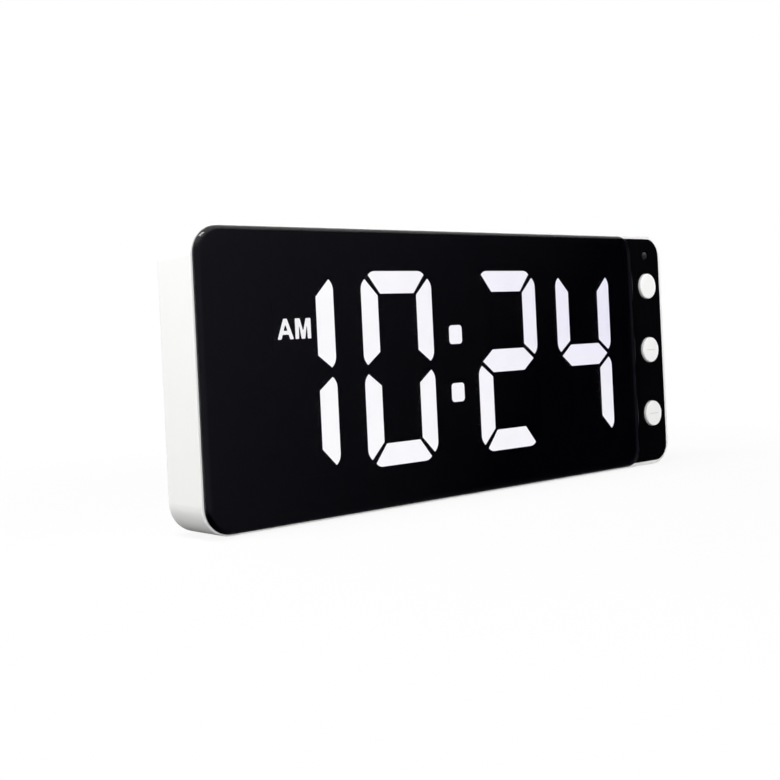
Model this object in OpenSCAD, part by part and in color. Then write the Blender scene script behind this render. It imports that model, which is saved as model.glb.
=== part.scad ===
// Slim desk and wall clock with four large lit digits, a proud front lens and a strip of three
// push caps. Every piece is drawn as seen from the front: x to the right, y up from the surface
// that the clock stands on, z from the lens face back. upright() then stands it on +Z.

/* [Case] */
// Width of the white case
case_w = 178.2; // [160:0.1:220]
// Height of the white case, without its foot pads
case_h = 73.2; // [64:0.1:90]
// Depth from the lens face to the back
case_d = 17.6; // [16:0.1:24]
// Radius of the case's four corners, seen from the front
case_corner_r = 7.6; // [6.5:0.1:12]
// Rounding of the edge round the back
back_edge_r = 2.3; // [1.5:0.1:3]
// Rounding of the rim's outer front edge
rim_edge_r = 0.3; // [0.1:0.05:0.5]
// Side walls
wall = 1.9; // [1.6:0.1:2.4]
// Back wall
back_wall = 2; // [1.6:0.1:2.4]
// White rim that shows round the black front
rim_w = 1; // [0.8:0.05:1.2]
// Radius of the corners of the opening in the rim
mouth_r = 5.6; // [5:0.1:7]

/* [Front] */
// Thickness of the lens
lens_t = 1.4; // [1.2:0.1:2]
// Rounding of the lens's front edge
lens_edge_r = 1; // [0.5:0.05:1.1]
// Radius of the lens's left corners
lens_left_r = 7; // [5:0.1:10]
// Radius of the lens's right corners
lens_right_r = 5.9; // [3:0.1:7]
// How far the lens stays inside the case's left side
lens_side = 0.6; // [0.4:0.05:0.9]
// How far the lens stays inside the case's top and bottom
lens_margin = 0.4; // [0.4:0.05:0.9]
// Black film behind the lens
film_t = 0.1; // [0.05:0.01:0.2]
// Black front plate that carries the lens, the caps and the display
plate_t = 1.8; // [1.5:0.1:2.4]
// Width of the black strip beside the lens
strip_w = 15.1; // [14:0.1:18]
// Hole in the strip for the light sensor
sensor_r = 1.5; // [1.2:0.05:2]
// How far the sensor's dome stands out of the strip
sensor_proud = 0.5; // [0.2:0.05:0.8]
// Height of the sensor above the top cap
sensor_rise = 9.8; // [8:0.1:10.4]

/* [Digits] */
// Black band left of the digits
left_band = 15.65; // [15:0.05:25]
// Black band right of the digits
right_band = 12.11; // [10.5:0.01:20]
// Black band above and below the digits
high_band = 10.86; // [9.5:0.02:14]
// Width of the upright strokes
upright_stroke = 5.65; // [4:0.05:6.5]
// Width of the top and bottom strokes
flat_stroke = 5.87; // [4:0.05:6.5]
// Width of the middle stroke
middle_stroke = 6.4; // [4:0.05:6.8]
// Width of a colon dot
colon_w = 4.9; // [3:0.1:7]
// Height of a colon dot
colon_h = 5.15; // [3:0.1:7]
// Rounding of a colon dot
colon_r = 1; // [0.3:0.1:1.4]
// Distance between the colon dots
colon_pitch = 15.85; // [12:0.05:20]

/* [Push caps] */
// Radius of a cap
cap_r = 4; // [3.4:0.05:4.4]
// How far a cap stands out of the strip
cap_proud = 0.8; // [0.7:0.05:1.4]
// From the right end of the opening in the rim to the caps' centre
cap_inset = 6.8; // [6.7:0.05:7.4]
// From the top or bottom of the case to the nearest cap
cap_drop = 16.2; // [15:0.1:20]
// Gap round a cap
cap_gap = 0.2; // [0.15:0.01:0.3]
// Travel of a cap
cap_travel = 0.4; // [0.2:0.05:0.5]

/* [Stand] */
// Width of the folding leg
leg_w = 56; // [40:1:60]
// Height of the leg's tip above the surface that the clock stands on
leg_tip_z = 7; // [6:0.5:16]
// Thickness of the leg
leg_t = 2; // [1.8:0.1:2.2]
// From the top of the case down to the leg's pin
leg_drop = 25.6; // [24:0.1:34]
// Gap round the leg in its recess
leg_gap = 0.35; // [0.3:0.01:0.45]
// Radius of the leg's steel pin
leg_pin_r = 0.8; // [0.7:0.05:0.9]
// Running clearance round the pin
pin_clearance = 0.05; // [0.03:0.01:0.08]
// Radius of the thumb notch in the leg's tip
thumb_r = 6; // [5:0.5:8]

/* [Wall hooks] */
// From the side of the case to the nearest keyhole
keyhole_inset = 39.1; // [36:0.1:44]
// From the top of the case down to the keyholes' round ends
keyhole_drop = 17.1; // [15.5:0.1:17.5]
// Radius of the round end, which a screw head passes through
keyhole_head_r = 4; // [3.5:0.1:4.2]
// Width of the slot that the screw's neck slides up
keyhole_slot_w = 4.2; // [3.6:0.1:4.6]
// How far the slot runs up from the round end
keyhole_rise = 6.5; // [5.5:0.1:7]

/* [Backup cell] */
// Radius of the coin cell
cell_r = 10; // [9.5:0.1:10.2]
// Thickness of the coin cell
cell_t = 3.2; // [2.8:0.1:3.2]

/* [Board and sockets] */
// Thickness of the circuit board
board_t = 1.6; // [1.4:0.1:1.8]
// Gap between the board and the floor of the cell's well
board_clear = 0.75; // [0.3:0.05:1.2]
// Height of the power socket's centre
socket_z = 26.8; // [24:0.1:30]
// Radius of the sounder
sounder_r = 6; // [5:0.1:7]
// Thickness of the sounder
sounder_t = 3; // [2:0.1:3.2]
// Radius of a sound hole
sound_hole_r = 0.8; // [0.6:0.05:1]
// Distance between sound holes
sound_pitch = 2.7; // [2.4:0.05:3]

/* [Hidden] */
$fn = 64;
quarter_angle = 90;

// One overrun for every cut
cut = 1;

// Small gap where one fixed piece drops into another
fit_gap = 0.1;

// Foot pads under the case
pad_w = 32;
pad_d = 9;
pad_t = 0.9;
pad_proud = 0.4;
pad_r = 2;
pad_place_share = 0.35;
pad_x = case_w * pad_place_share;

// Heights of the case
case_low = pad_proud;
case_mid = case_low + case_h / 2;
case_top = case_low + case_h;

// Depths of the front stack
plate_z = lens_t + film_t;
plate_back = plate_z + plate_t;
mouth_w = case_w - 2 * rim_w;
mouth_h = case_h - 2 * rim_w;

// The lens lies between the case's left side and the strip
lens_left = -case_w / 2 + lens_side;
lens_right = mouth_w / 2 - strip_w;
lens_w = lens_right - lens_left;
lens_h = case_h - 2 * lens_margin;
lens_x = (lens_left + lens_right) / 2;
film_inset = 0.25;
adhesive_inset = 0.75;

// Inside of the case
inner_w = case_w - 2 * wall;
inner_h = case_h - 2 * wall;
inner_r = mouth_r - (wall - rim_w);
inner_edge_r = 1;
back_in = case_d - back_wall;

// Digits, fitted between the lens's black bands
display_w = lens_w - left_band - right_band;
display_x = lens_left + left_band + display_w / 2;
digit_w_share = 0.185;
digit_w = display_w * digit_w_share;
digit_h = lens_h - 2 * high_band;
digit_pitch_share = 0.2527;
digit_pitch = display_w * digit_pitch_share;
colon_span = display_w - 2 * digit_pitch - digit_w;

// Digit outline, from the digit's own centre
half_w = digit_w / 2;
half_h = digit_h / 2;
tip_in = 1.4;
end_r = 3.4;
end_a = acos(1 - tip_in / end_r);
split_half = 1.17;
low_shoulder = 4.37;
high_tip_drop = 2.03;
high_shoulder_drop = 6.33;
flat_tip_in = 2.57;
flat_tip_drop = 1.03;
flat_end_r = 2.9;
flat_end_a = acos(1 - flat_tip_drop / flat_end_r);
flat_shoulder_in = 6.47;
middle_tip_in = 1.9;
middle_shoulder_in = 5.95;
arc_steps = 5;

// Places of the digits and of the two small signs in the first digit
digit_xs = [for (side = [-1, 1], place = [0, 1])
    display_x + side * (colon_span / 2 + place * digit_pitch)];
sign_gap = 1.12;
sign_w = digit_w - 2 * (upright_stroke + sign_gap);
sign_h = 6.2;
sign_rise_share = 0.4375;
sign_rise = half_h * sign_rise_share;
sign_x = display_x - colon_span / 2 - digit_pitch;

// Depths of the back stack: twist cover, coin cell, contact, floor of the well and board
cover_t = 2.1;
cover_flush = 0.1;
cover_back = case_d - cover_flush;
cover_front = cover_back - cover_t;
cell_gap = 0.25;
cell_back = cover_front - cell_gap;
cell_front = cell_back - cell_t;
contact_t = 0.2;
well_floor_t = 1;
well_floor = cell_front - contact_t;
board_back = well_floor - well_floor_t - board_clear;
board_z = board_back - board_t;

// Light box, which fills what the stack leaves
box_margin = 2;
box_w = display_w + 2 * box_margin;
box_h = digit_h + 2 * box_margin;
box_r = 1.5;
diffuser_t = 0.3;
box_z = plate_z + diffuser_t;
box_d = board_z - box_z;
box_base = 1.2;
chip_w = 3;
chip_h = 1.6;
chip_t = 0.8;
chip_gap = 0.35;
upright_chip_step = 3.9;
flat_chip_step = 3.2;

// Middle depth of the shell's outside, where the pads lie
shell_mid = plate_z + (case_d - plate_z - back_edge_r) / 2;

// Circuit board
board_gap = 1.3;
board_w = inner_w - 2 * board_gap;
board_h = inner_h - 2 * board_gap;
board_r = 3;

// Push caps
cap_zs = [case_top - cap_drop, case_mid, case_low + cap_drop];
cap_edge_r = 0.35;
flange_out = 0.7;
flange_r = cap_r + flange_out;
flange_t = 0.8;
flange_gap = 0.1;
flange_z = plate_back + flange_gap;
collar_gap = 0.2;
collar_wall = 0.8;
collar_r = flange_r + collar_gap + collar_wall;
cap_x = min(mouth_w / 2 - cap_inset, inner_w / 2 - collar_r - fit_gap);
collar_over = 0.2;
collar_h = flange_gap + flange_t + collar_over;
plunger_r = 1.75;
plunger_z = flange_z + flange_t;
switch_w = 6;
switch_r = 0.6;
plunger_free = 0.7;
switch_z = plunger_z + plunger_free;
switch_h = board_z - switch_z;
plunger_gap = 0.1;
plunger_in_share = 0.43;
plunger_in = switch_h * plunger_in_share;
plunger_room = 0.3;
sensor_z = cap_zs[0] + sensor_rise;
sensor_gap = 0.15;
sensor_body_z = plate_z - sensor_proud + sensor_r;
sensor_body_share = 0.68;
sensor_body = (board_z - sensor_body_z) * sensor_body_share;
sensor_flange_r = 1.9;
sensor_flange_t = 0.6;
lead_w = 0.5;
lead_x = 0.9;

// Folding leg and its recess
leg_pin_z = case_top - leg_drop;
leg_len = leg_pin_z - leg_tip_z;
leg_flush = 0.1;
barrel_r = 1.75;
leg_back = case_d - leg_flush;
leg_pin_y = leg_back - barrel_r;
leg_corner_r = 3;
recess_floor = leg_back - leg_t - leg_gap;
tray_wall = 1.4;
recess_top = leg_pin_z + barrel_r + leg_gap;
recess_low = leg_pin_z - leg_len - leg_gap;
recess_half = leg_w / 2 + leg_gap;
trough_r = barrel_r + leg_gap;
ear_w = 4.6;
pin_hold = 3.2;
pin_len = leg_w + 2 * leg_gap + 2 * pin_hold;
relief_t = 0.7;
relief_edge = 4;
tip_w = 15;
tip_h = 3;
tip_t = 1;
tip_x = leg_w / 2 - leg_corner_r - tip_w / 2;

// Keyholes
keyhole_span = case_w - 2 * keyhole_inset;
keyhole_z = case_top - keyhole_drop;
pocket_d = 3.2;
pocket_wall = 1;
pocket_gap = 0.8;

// Coin cell, its well and its twist cover
cell_place_share = 0.2918;
cell_rise_share = 0.3224;
cell_x = case_w * cell_place_share;
cell_z = case_low + case_h * cell_rise_share;
cover_over = 2.3;
cover_r = cell_r + cover_over;
cover_gap = 0.2;
ring_room = 0.6;
ring_r = cell_r + ring_room;
lug_out = 1.4;
lug_t = 1.1;
lug_gap = 0.2;
lug_angle = 26;
lug_ease_angle = 2;
lug_turn_angle = 60;
notch_gap = 0.2;
lug_z = back_in - lug_gap - lug_t;
well_gap = 0.3;
well_r = cover_r + lug_out + well_gap;
well_wall = 1.2;
cell_edge_r = 0.2;
nest_room = 0.3;
nest_r = cell_r + nest_room;
nest_wall = 1.6;
nest_gap = 0.4;
coin_slot_w = 1.8;
coin_slot_len = 15;
coin_slot_t = 1.1;
tail_w = 2;
contact_w = 5;
tail_slot = 0.6;

// Power socket, in the right wall behind the board
socket_w = 8.94;
socket_h = 3.26;
socket_len = 7.35;
socket_r = 1.2;
socket_skin = 0.3;
socket_back = 0.9;
socket_inset = 0.6;
socket_gap = 0.25;
tongue_w = 6.7;
tongue_t = 0.7;
tongue_len = 5.2;
socket_x = case_w / 2 - socket_inset;
socket_y = board_back + socket_h / 2;

// Sounder and the holes behind it
sounder_x = -cell_x;
sounder_z = cell_z;
sounder_port_r = 1;
sounder_port_t = 0.6;
sound_rings = 2;
baffle_gap = 0.8;
baffle_wall = 1;
baffle_h = 2.4;

// Screws
screw_head_r = 2.6;
screw_head_t = 1.7;
screw_shank_r = 1.3;
screw_len = 7;
screw_hole_r = 1.6;
screw_head_room = 0.3;
screw_boss_r = 4;
screw_sink = 3.9;
screw_boss_t = 1.7;
screw_seat = case_d - screw_sink;
screw_boss_front = screw_seat - screw_boss_t;
post_r = 2.9;
post_gap = 0.1;
post_back = screw_boss_front - post_gap;
case_screw_inset_x = 9.1;
case_screw_inset_z = 9.2;
case_screw_left = -case_w / 2 + case_screw_inset_x;
case_screw_strip_gap = 4;
case_screw_right = lens_right - case_screw_strip_gap;
board_screw_head_r = 2;
board_screw_head_t = 1.2;
board_screw_r = 0.9;
board_screw_len = 4;
board_boss_r = 2.2;
board_screw_inset = 5.6;
board_screw_span = 80;
board_hole_gap = 0.3;
drive_w = 0.7;
drive_len = 3;
drive_t = 0.8;

// Parts on the back of the board
driver_size = [18, 7.5, 2.3];
driver_pos = [-14, 20];
driver_pin_count = 14;
pin_pitch = 1.27;
chip_leg = [0.4, 1.4, 0.25];
clock_size = [5, 4, 1.5];
clock_pos = [14, 20];
clock_pin_count = 4;
crystal_r = 1;
crystal_len = 6;
crystal_pos = [14, 27];
capacitor_size = [3.5, 2.8, 1.9];
capacitor_inset = 8;
capacitor_rise = 9.2;
capacitor_step = 4.2;
capacitor_count = 3;
resistor_size = [1.25, 2, 0.5];
resistor_row = [-24, 31];
resistor_step = 2.2;
resistor_count = 14;

white = [0.93, 0.93, 0.92];
black = [0.03, 0.03, 0.035];
steel = [0.72, 0.73, 0.75];
rubber = [0.12, 0.12, 0.13];
chip_black = [0.08, 0.08, 0.09];

// Stands a piece that is drawn from the front on the surface, with the case's middle depth at y = 0
module upright() {
    translate([0, -case_d / 2, 0])
        mirror([0, 1, -1])
            children();
}

// Flat rounded rectangle about its centre
module rounded_rect(w, h, r) {
    if (w > 2 * r)
        square([w - 2 * r, h], center = true);
    if (h > 2 * r)
        square([w, h - 2 * r], center = true);
    for (sx = [-1, 1], sy = [-1, 1])
        translate([sx * (w / 2 - r), sy * (h / 2 - r)])
            circle(r);
}

// Profile of a wall's outer edge, reach out and deep, with a round front edge and a round back edge
module edge_profile(reach, deep, front_r, back_r) {
    square([reach - max(front_r, back_r), deep]);
    translate([0, front_r])
        square([reach, deep - front_r - back_r]);
    if (front_r > 0) {
        square([reach - front_r, front_r]);
        intersection() {
            translate([reach - front_r, front_r])
                circle(front_r);
            square([reach, front_r]);
        }
    }
    if (back_r > 0)
        translate([0, deep - back_r]) {
            square([reach - back_r, back_r]);
            intersection() {
                translate([reach - back_r, 0])
                    circle(back_r);
                square([reach, back_r]);
            }
        }
}

// One side column of a slab: two turned corners and the straight edge between them, on the +x side
module slab_side(w, h, deep, r, front_r, back_r) {
    for (side = [0, 1])
        mirror([0, side, 0])
            translate([w / 2 - r, h / 2 - r, 0])
                rotate_extrude(angle = 90)
                    edge_profile(r, deep, front_r, back_r);
    translate([w / 2 - r, h / 2 - r, 0])
        rotate([90, 0, 0])
            linear_extrude(h - 2 * r)
                edge_profile(r, deep, front_r, back_r);
}

// Slab with rounded corners, and rounded edges round its front and back
module slab(w, h, deep, left_r, right_r, front_r, back_r) {
    slab_side(w, h, deep, right_r, front_r, back_r);
    mirror([1, 0, 0])
        slab_side(w, h, deep, left_r, front_r, back_r);
    for (side = [0, 1])
        mirror([0, side, 0])
            translate([left_r - w / 2, 0, 0])
                rotate([90, 0, 90])
                    linear_extrude(w - left_r - right_r)
                        translate([h / 2 - right_r, 0])
                            edge_profile(right_r, deep, front_r, back_r);
    translate([left_r - w / 2, right_r - h / 2, 0])
        cube([w - left_r - right_r, h - 2 * right_r, deep]);
}

// Block with rounded corners, centred in x and y
module block(w, h, deep, r) {
    linear_extrude(deep)
        rounded_rect(w, h, r);
}

// Points along an arc about (cx, cy)
function arc(cx, cy, r, from, to) =
    [for (i = [0 : arc_steps])
        let (a = from + (to - from) * i / arc_steps)
        [cx + r * cos(a), cy + r * sin(a)]];

// Upper right stroke of a digit
function upright_points() = concat(
    [[half_w - upright_stroke, low_shoulder]],
    arc(half_w - end_r, split_half + end_r * sin(end_a), end_r, -end_a, 0),
    arc(half_w - end_r, half_h - high_tip_drop - end_r * sin(end_a), end_r, 0, end_a),
    [[half_w - upright_stroke, half_h - high_shoulder_drop]]
);

// Top stroke of a digit
function flat_points() =
    let (x = half_w - flat_tip_in - flat_end_r * sin(flat_end_a), y = half_h - flat_end_r)
    concat(
        [
            [flat_shoulder_in - half_w, half_h - flat_stroke],
            [half_w - flat_shoulder_in, half_h - flat_stroke]
        ],
        arc(x, y, flat_end_r, quarter_angle - flat_end_a, quarter_angle),
        arc(-x, y, flat_end_r, quarter_angle, quarter_angle + flat_end_a)
    );

// Middle stroke of a digit, a long hexagon
function middle_points() =
    let (tip = half_w - middle_tip_in, shoulder = half_w - middle_shoulder_in, rise = middle_stroke / 2)
    [[-tip, 0], [-shoulder, -rise], [shoulder, -rise], [tip, 0], [shoulder, rise], [-shoulder, rise]];

// All seven strokes of one digit about its centre
module digit() {
    for (left = [0, 1], low = [0, 1])
        mirror([left, 0])
            mirror([0, low])
                polygon(upright_points());
    for (low = [0, 1])
        mirror([0, low])
            polygon(flat_points());
    polygon(middle_points());
}

// Every lit shape of the display, as flat outlines
module display_shapes() {
    for (x = digit_xs)
        translate([x, case_mid])
            digit();
    for (side = [-1, 1])
        translate([display_x, case_mid + side * colon_pitch / 2])
            rounded_rect(colon_w, colon_h, colon_r);
    for (side = [-1, 1])
        translate([sign_x, case_mid + side * sign_rise])
            square([sign_w, sign_h], center = true);
}

// Where the light chips stand, as [x, y, turn]
function chip_places() = concat(
    [for (x = digit_xs, sx = [-1, 1], sy = [-1, 1], step = [-1, 1])
        [
            x + sx * (half_w - upright_stroke / 2),
            case_mid + sy * (half_h + split_half - flat_stroke / 2) / 2 + step * upright_chip_step,
            90
        ]],
    [for (x = digit_xs, sy = [-1, 0, 1], step = [-1, 1])
        [x + step * flat_chip_step, case_mid + sy * (half_h - flat_stroke / 2), 0]],
    [for (side = [-1, 1]) [display_x, case_mid + side * colon_pitch / 2, 0]],
    [for (side = [-1, 1]) [sign_x, case_mid + side * sign_rise, 0]]
);

// Where the case's four screws go
function case_screw_places() =
    [for (x = [case_screw_left, case_screw_right], side = [-1, 1])
        [x, case_mid + side * (case_h / 2 - case_screw_inset_z)]];

// Where the board's four screws go
function board_screw_places() =
    [for (x = [-board_screw_span / 2, board_screw_span / 2], side = [-1, 1])
        [x, case_mid + side * (case_h / 2 - board_screw_inset)]];

// Lays a shape along x at the leg's pin
module at_leg_pin() {
    translate([0, leg_pin_z, leg_pin_y])
        rotate([0, 90, 0])
            children();
}

// Round end and slot of a keyhole, as a flat outline about the round end
module keyhole_outline() {
    circle(keyhole_head_r);
    translate([-keyhole_slot_w / 2, 0])
        square([keyhole_slot_w, keyhole_rise]);
    translate([0, keyhole_rise])
        circle(keyhole_slot_w / 2);
}

// Closed pocket behind a keyhole, in which the screw's head slides; grow widens it to its outside
module keyhole_pocket(grow) {
    pocket_r = keyhole_head_r + pocket_gap + grow;
    translate([0, keyhole_rise / 2])
        rounded_rect(2 * pocket_r, keyhole_rise + 2 * pocket_r, keyhole_head_r);
}

// Three lugs of the twist cover, or with more reach the notches that they drop in through
module lugs(out_r, half_angle, from_angle, deep) {
    for (i = [0 : 2])
        rotate(from_angle + i * 120 - half_angle)
            rotate_extrude(angle = 2 * half_angle)
                translate([ring_r, 0])
                    square([out_r - ring_r, deep]);
}

// Inner parts of the back moulding: screw bosses, leg tray, keyhole pockets, cell well, sound baffle
module shell_inner_forms() {
    for (p = case_screw_places())
        translate([p[0], p[1], screw_boss_front])
            cylinder(h = back_in - screw_boss_front + cut, r = screw_boss_r);
    tray_front = recess_floor - tray_wall;
    tray_low = recess_low - tray_wall;
    ear_front = leg_pin_y - trough_r - tray_wall;
    translate([-recess_half - tray_wall, tray_low, tray_front])
        cube([2 * (recess_half + tray_wall), recess_top + tray_wall - tray_low, back_in + cut - tray_front]);
    translate([-recess_half - ear_w, leg_pin_z - trough_r - tray_wall, ear_front])
        cube([2 * (recess_half + ear_w), 2 * (trough_r + tray_wall), back_in + cut - ear_front]);
    for (side = [-1, 1])
        translate([side * keyhole_span / 2, keyhole_z, back_in - pocket_d - pocket_wall])
            linear_extrude(pocket_d + pocket_wall + cut)
                keyhole_pocket(pocket_wall);
    translate([cell_x, cell_z, well_floor - well_floor_t])
        cylinder(h = back_in + cut - (well_floor - well_floor_t), r = well_r + well_wall);
    translate([sounder_x, sounder_z, back_in - baffle_h])
        cylinder(h = baffle_h + cut, r = sounder_r + baffle_gap + baffle_wall);
}

// Room for the folding leg, its barrel and its pin
module leg_recess() {
    translate([-recess_half, recess_low, recess_floor])
        cube([2 * recess_half, recess_top - recess_low, case_d - recess_floor + cut]);
    at_leg_pin()
        cylinder(h = 2 * recess_half, r = trough_r, center = true);
    at_leg_pin()
        cylinder(h = pin_len, r = leg_pin_r, center = true);
}

// Room for the coin cell, its cover and the cover's lugs, with a nest left standing round the cell
module cell_room() {
    translate([cell_x, cell_z, 0]) {
        difference() {
            translate([0, 0, well_floor])
                cylinder(h = back_in - well_floor, r = well_r);
            translate([0, 0, well_floor - cut])
                difference() {
                    cylinder(h = lug_z - nest_gap - well_floor + cut, r = nest_r + nest_wall);
                    translate([0, 0, -cut])
                        cylinder(h = lug_z + 2 * cut, r = nest_r);
                    for (side = [-1, 1])
                        translate([side * nest_r - contact_w / 2, -contact_w / 2, -cut])
                            cube([contact_w, contact_w, lug_z + 2 * cut]);
                }
        }
        translate([0, 0, back_in - cut])
            cylinder(h = back_wall + 2 * cut, r = cover_r + cover_gap);
        translate([0, 0, back_in - cut])
            lugs(cover_r + lug_out + notch_gap, lug_angle, -lug_turn_angle, back_wall + 2 * cut);
        for (side = [-1, 1])
            translate([side * nest_r, 0, well_floor - well_floor_t - cut])
                translate([-tail_slot, -tail_w / 2 - tail_slot / 2, 0])
                    cube([2 * tail_slot, tail_w + tail_slot, well_floor_t + 2 * cut]);
    }
}

// Hexagonal field of sound holes
module sound_holes() {
    row_step = sound_pitch * sqrt(3) / 2;
    for (row = [-sound_rings : sound_rings], i = [0 : 2 * sound_rings - abs(row)]) {
        place = (i - sound_rings + abs(row) / 2) * sound_pitch;
        translate([sounder_x + place, sounder_z + row * row_step, back_in - cut])
            cylinder(h = back_wall + 2 * cut, r = sound_hole_r, $fn = 24);
    }
}

// White back moulding: sides, rim and back in one piece
module rear_shell() {
    color(white)
        upright()
            difference() {
                union() {
                    difference() {
                        translate([0, case_mid, plate_z])
                            slab(
                                case_w,
                                case_h,
                                case_d - plate_z,
                                case_corner_r,
                                case_corner_r,
                                rim_edge_r,
                                back_edge_r
                            );
                        translate([0, case_mid, plate_z - cut])
                            block(mouth_w, mouth_h, plate_t + cut, mouth_r);
                        translate([0, case_mid, plate_z])
                            slab(inner_w, inner_h, back_in - plate_z, inner_r, inner_r, 0, inner_edge_r);
                    }
                    shell_inner_forms();
                }
                leg_recess();
                cell_room();
                sound_holes();
                for (side = [-1, 1])
                    translate([side * keyhole_span / 2, keyhole_z, 0]) {
                        translate([0, 0, back_in - pocket_d])
                            linear_extrude(pocket_d)
                                keyhole_pocket(0);
                        translate([0, 0, back_in - cut])
                            linear_extrude(back_wall + 2 * cut)
                                keyhole_outline();
                    }
                for (p = case_screw_places())
                    translate([p[0], p[1], 0]) {
                        translate([0, 0, screw_seat])
                            cylinder(h = case_d - screw_seat + cut, r = screw_head_r + screw_head_room);
                        translate([0, 0, screw_boss_front - cut])
                            cylinder(h = screw_seat - screw_boss_front + 2 * cut, r = screw_hole_r);
                    }
                translate([sounder_x, sounder_z, back_in - baffle_h - cut])
                    cylinder(h = baffle_h + cut, r = sounder_r + baffle_gap);
                translate([inner_w / 2 - cut, socket_z, socket_y])
                    rotate([0, 90, 0])
                        block(
                            socket_h + 2 * socket_gap,
                            socket_w + 2 * socket_gap,
                            wall + 2 * cut,
                            socket_r + socket_gap
                        );
                for (side = [-1, 1])
                    translate([side * pad_x, pad_t, shell_mid])
                        rotate([90, 0, 0])
                            block(pad_w, pad_d, pad_t + cut, pad_r);
            }
}

// Black plate behind the lens: its right end shows as the strip of caps
module front_plate() {
    color(black)
        upright()
            difference() {
                union() {
                    translate([0, case_mid, plate_z])
                        block(mouth_w - 2 * fit_gap, mouth_h - 2 * fit_gap, plate_t, mouth_r - fit_gap);
                    for (z = cap_zs)
                        translate([cap_x, z, plate_z])
                            cylinder(h = plate_t + collar_h, r = collar_r);
                    for (p = case_screw_places())
                        translate([p[0], p[1], plate_z])
                            cylinder(h = post_back - plate_z, r = post_r);
                    for (p = board_screw_places())
                        translate([p[0], p[1], plate_z])
                            cylinder(h = board_z - plate_z, r = board_boss_r);
                }
                translate([display_x, case_mid, plate_z - cut])
                    block(box_w + 2 * fit_gap, box_h + 2 * fit_gap, plate_t + 2 * cut, box_r + fit_gap);
                for (z = cap_zs) {
                    translate([cap_x, z, plate_z - cut])
                        cylinder(h = plate_t + 2 * cut, r = cap_r + cap_gap);
                    translate([cap_x, z, plate_back])
                        cylinder(h = collar_h + cut, r = flange_r + collar_gap);
                }
                translate([cap_x, sensor_z, plate_z - cut])
                    cylinder(h = plate_t + 2 * cut, r = sensor_r + sensor_gap);
                for (p = case_screw_places())
                    translate([p[0], p[1], post_back - screw_len])
                        cylinder(h = screw_len + cut, r = screw_shank_r);
                for (p = board_screw_places())
                    translate([p[0], p[1], board_back - board_screw_len - board_screw_r])
                        cylinder(h = board_screw_len + cut, r = board_screw_r);
            }
}

// Clear front lens with a rounded front edge
module display_lens() {
    color([0.1, 0.1, 0.12, 0.6])
        upright()
            translate([lens_x, case_mid, 0])
                slab(lens_w, lens_h, lens_t, lens_left_r, lens_right_r, lens_edge_r, 0);
}

// Outline of the film and the adhesive behind the lens, as far in from the lens's edge as inset says
module lens_back_outline(inset) {
    split = lens_left_r + (lens_w - lens_left_r - lens_right_r) / 2;
    w = lens_w - 2 * inset;
    h = lens_h - 2 * inset;
    translate([lens_x, case_mid]) {
        intersection() {
            rounded_rect(w, h, lens_left_r - inset);
            translate([-lens_w / 2, -lens_h / 2])
                square([split, lens_h]);
        }
        intersection() {
            rounded_rect(w, h, lens_right_r - inset);
            translate([split - lens_w / 2, -lens_h / 2])
                square([lens_w - split, lens_h]);
        }
    }
}

// Black film behind the lens, open at every lit shape
module display_mask() {
    color(black)
        upright()
            translate([0, 0, lens_t])
                linear_extrude(film_t / 2)
                    difference() {
                        lens_back_outline(film_inset);
                        display_shapes();
                    }
}

// Double-sided adhesive frame between the film and the plate
module lens_adhesive() {
    color([0.5, 0.5, 0.5])
        upright()
            translate([0, 0, lens_t + film_t / 2])
                linear_extrude(film_t / 2)
                    difference() {
                        lens_back_outline(adhesive_inset);
                        translate([display_x, case_mid])
                            rounded_rect(box_w + 2 * box_margin, box_h + 2 * box_margin, box_r);
                    }
}

// Translucent sheet that evens the light
module diffuser_sheet() {
    color([0.92, 0.92, 0.95, 0.7])
        upright()
            translate([display_x, case_mid, plate_z])
                block(box_w, box_h, diffuser_t, box_r);
}

// White box with a cell for each lit shape and a floor with a window for each chip
module light_box() {
    color([0.96, 0.96, 0.96])
        upright()
            difference() {
                translate([display_x, case_mid, box_z])
                    block(box_w, box_h, box_d, box_r);
                translate([0, 0, box_z - cut])
                    linear_extrude(box_d - box_base + cut)
                        display_shapes();
                for (p = chip_places())
                    translate([p[0], p[1], board_z - box_base])
                        rotate(p[2])
                            cube(
                                [chip_w + 2 * chip_gap, chip_h + 2 * chip_gap, 2 * (box_base + cut)],
                                center = true
                            );
            }
}

// White light chips on the front of the board
module led_chips() {
    color([0.95, 0.93, 0.75])
        upright()
            for (p = chip_places())
                translate([p[0], p[1], board_z - chip_t / 2])
                    rotate(p[2])
                        cube([chip_w, chip_h, chip_t], center = true);
}

// Circuit board across the whole case, with holes round the posts
module main_board() {
    color([0.1, 0.32, 0.18])
        upright()
            difference() {
                translate([0, case_mid, board_z])
                    block(board_w, board_h, board_t, board_r);
                for (p = case_screw_places())
                    translate([p[0], p[1], board_z - cut])
                        cylinder(h = board_t + 2 * cut, r = post_r + board_hole_gap);
                for (p = board_screw_places())
                    translate([p[0], p[1], board_z - cut])
                        cylinder(h = board_t + 2 * cut, r = board_screw_r + fit_gap);
            }
}

// Flat chip on the back of the board, with pins along its two long sides
module flat_chip(size, pins) {
    translate([-size[0] / 2, -size[1] / 2, chip_leg[2]])
        cube([size[0], size[1], size[2] - chip_leg[2]]);
    for (i = [0 : pins - 1], side = [0, 1])
        mirror([0, side, 0])
            translate([(i - (pins - 1) / 2) * pin_pitch - chip_leg[0] / 2, size[1] / 2 - chip_leg[1] / 2, 0])
                cube([chip_leg[0], chip_leg[1], 2 * chip_leg[2]]);
}

// Chip that drives the digits
module display_driver() {
    color(chip_black)
        upright()
            translate([driver_pos[0], driver_pos[1], board_back])
                flat_chip(driver_size, driver_pin_count);
}

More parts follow.
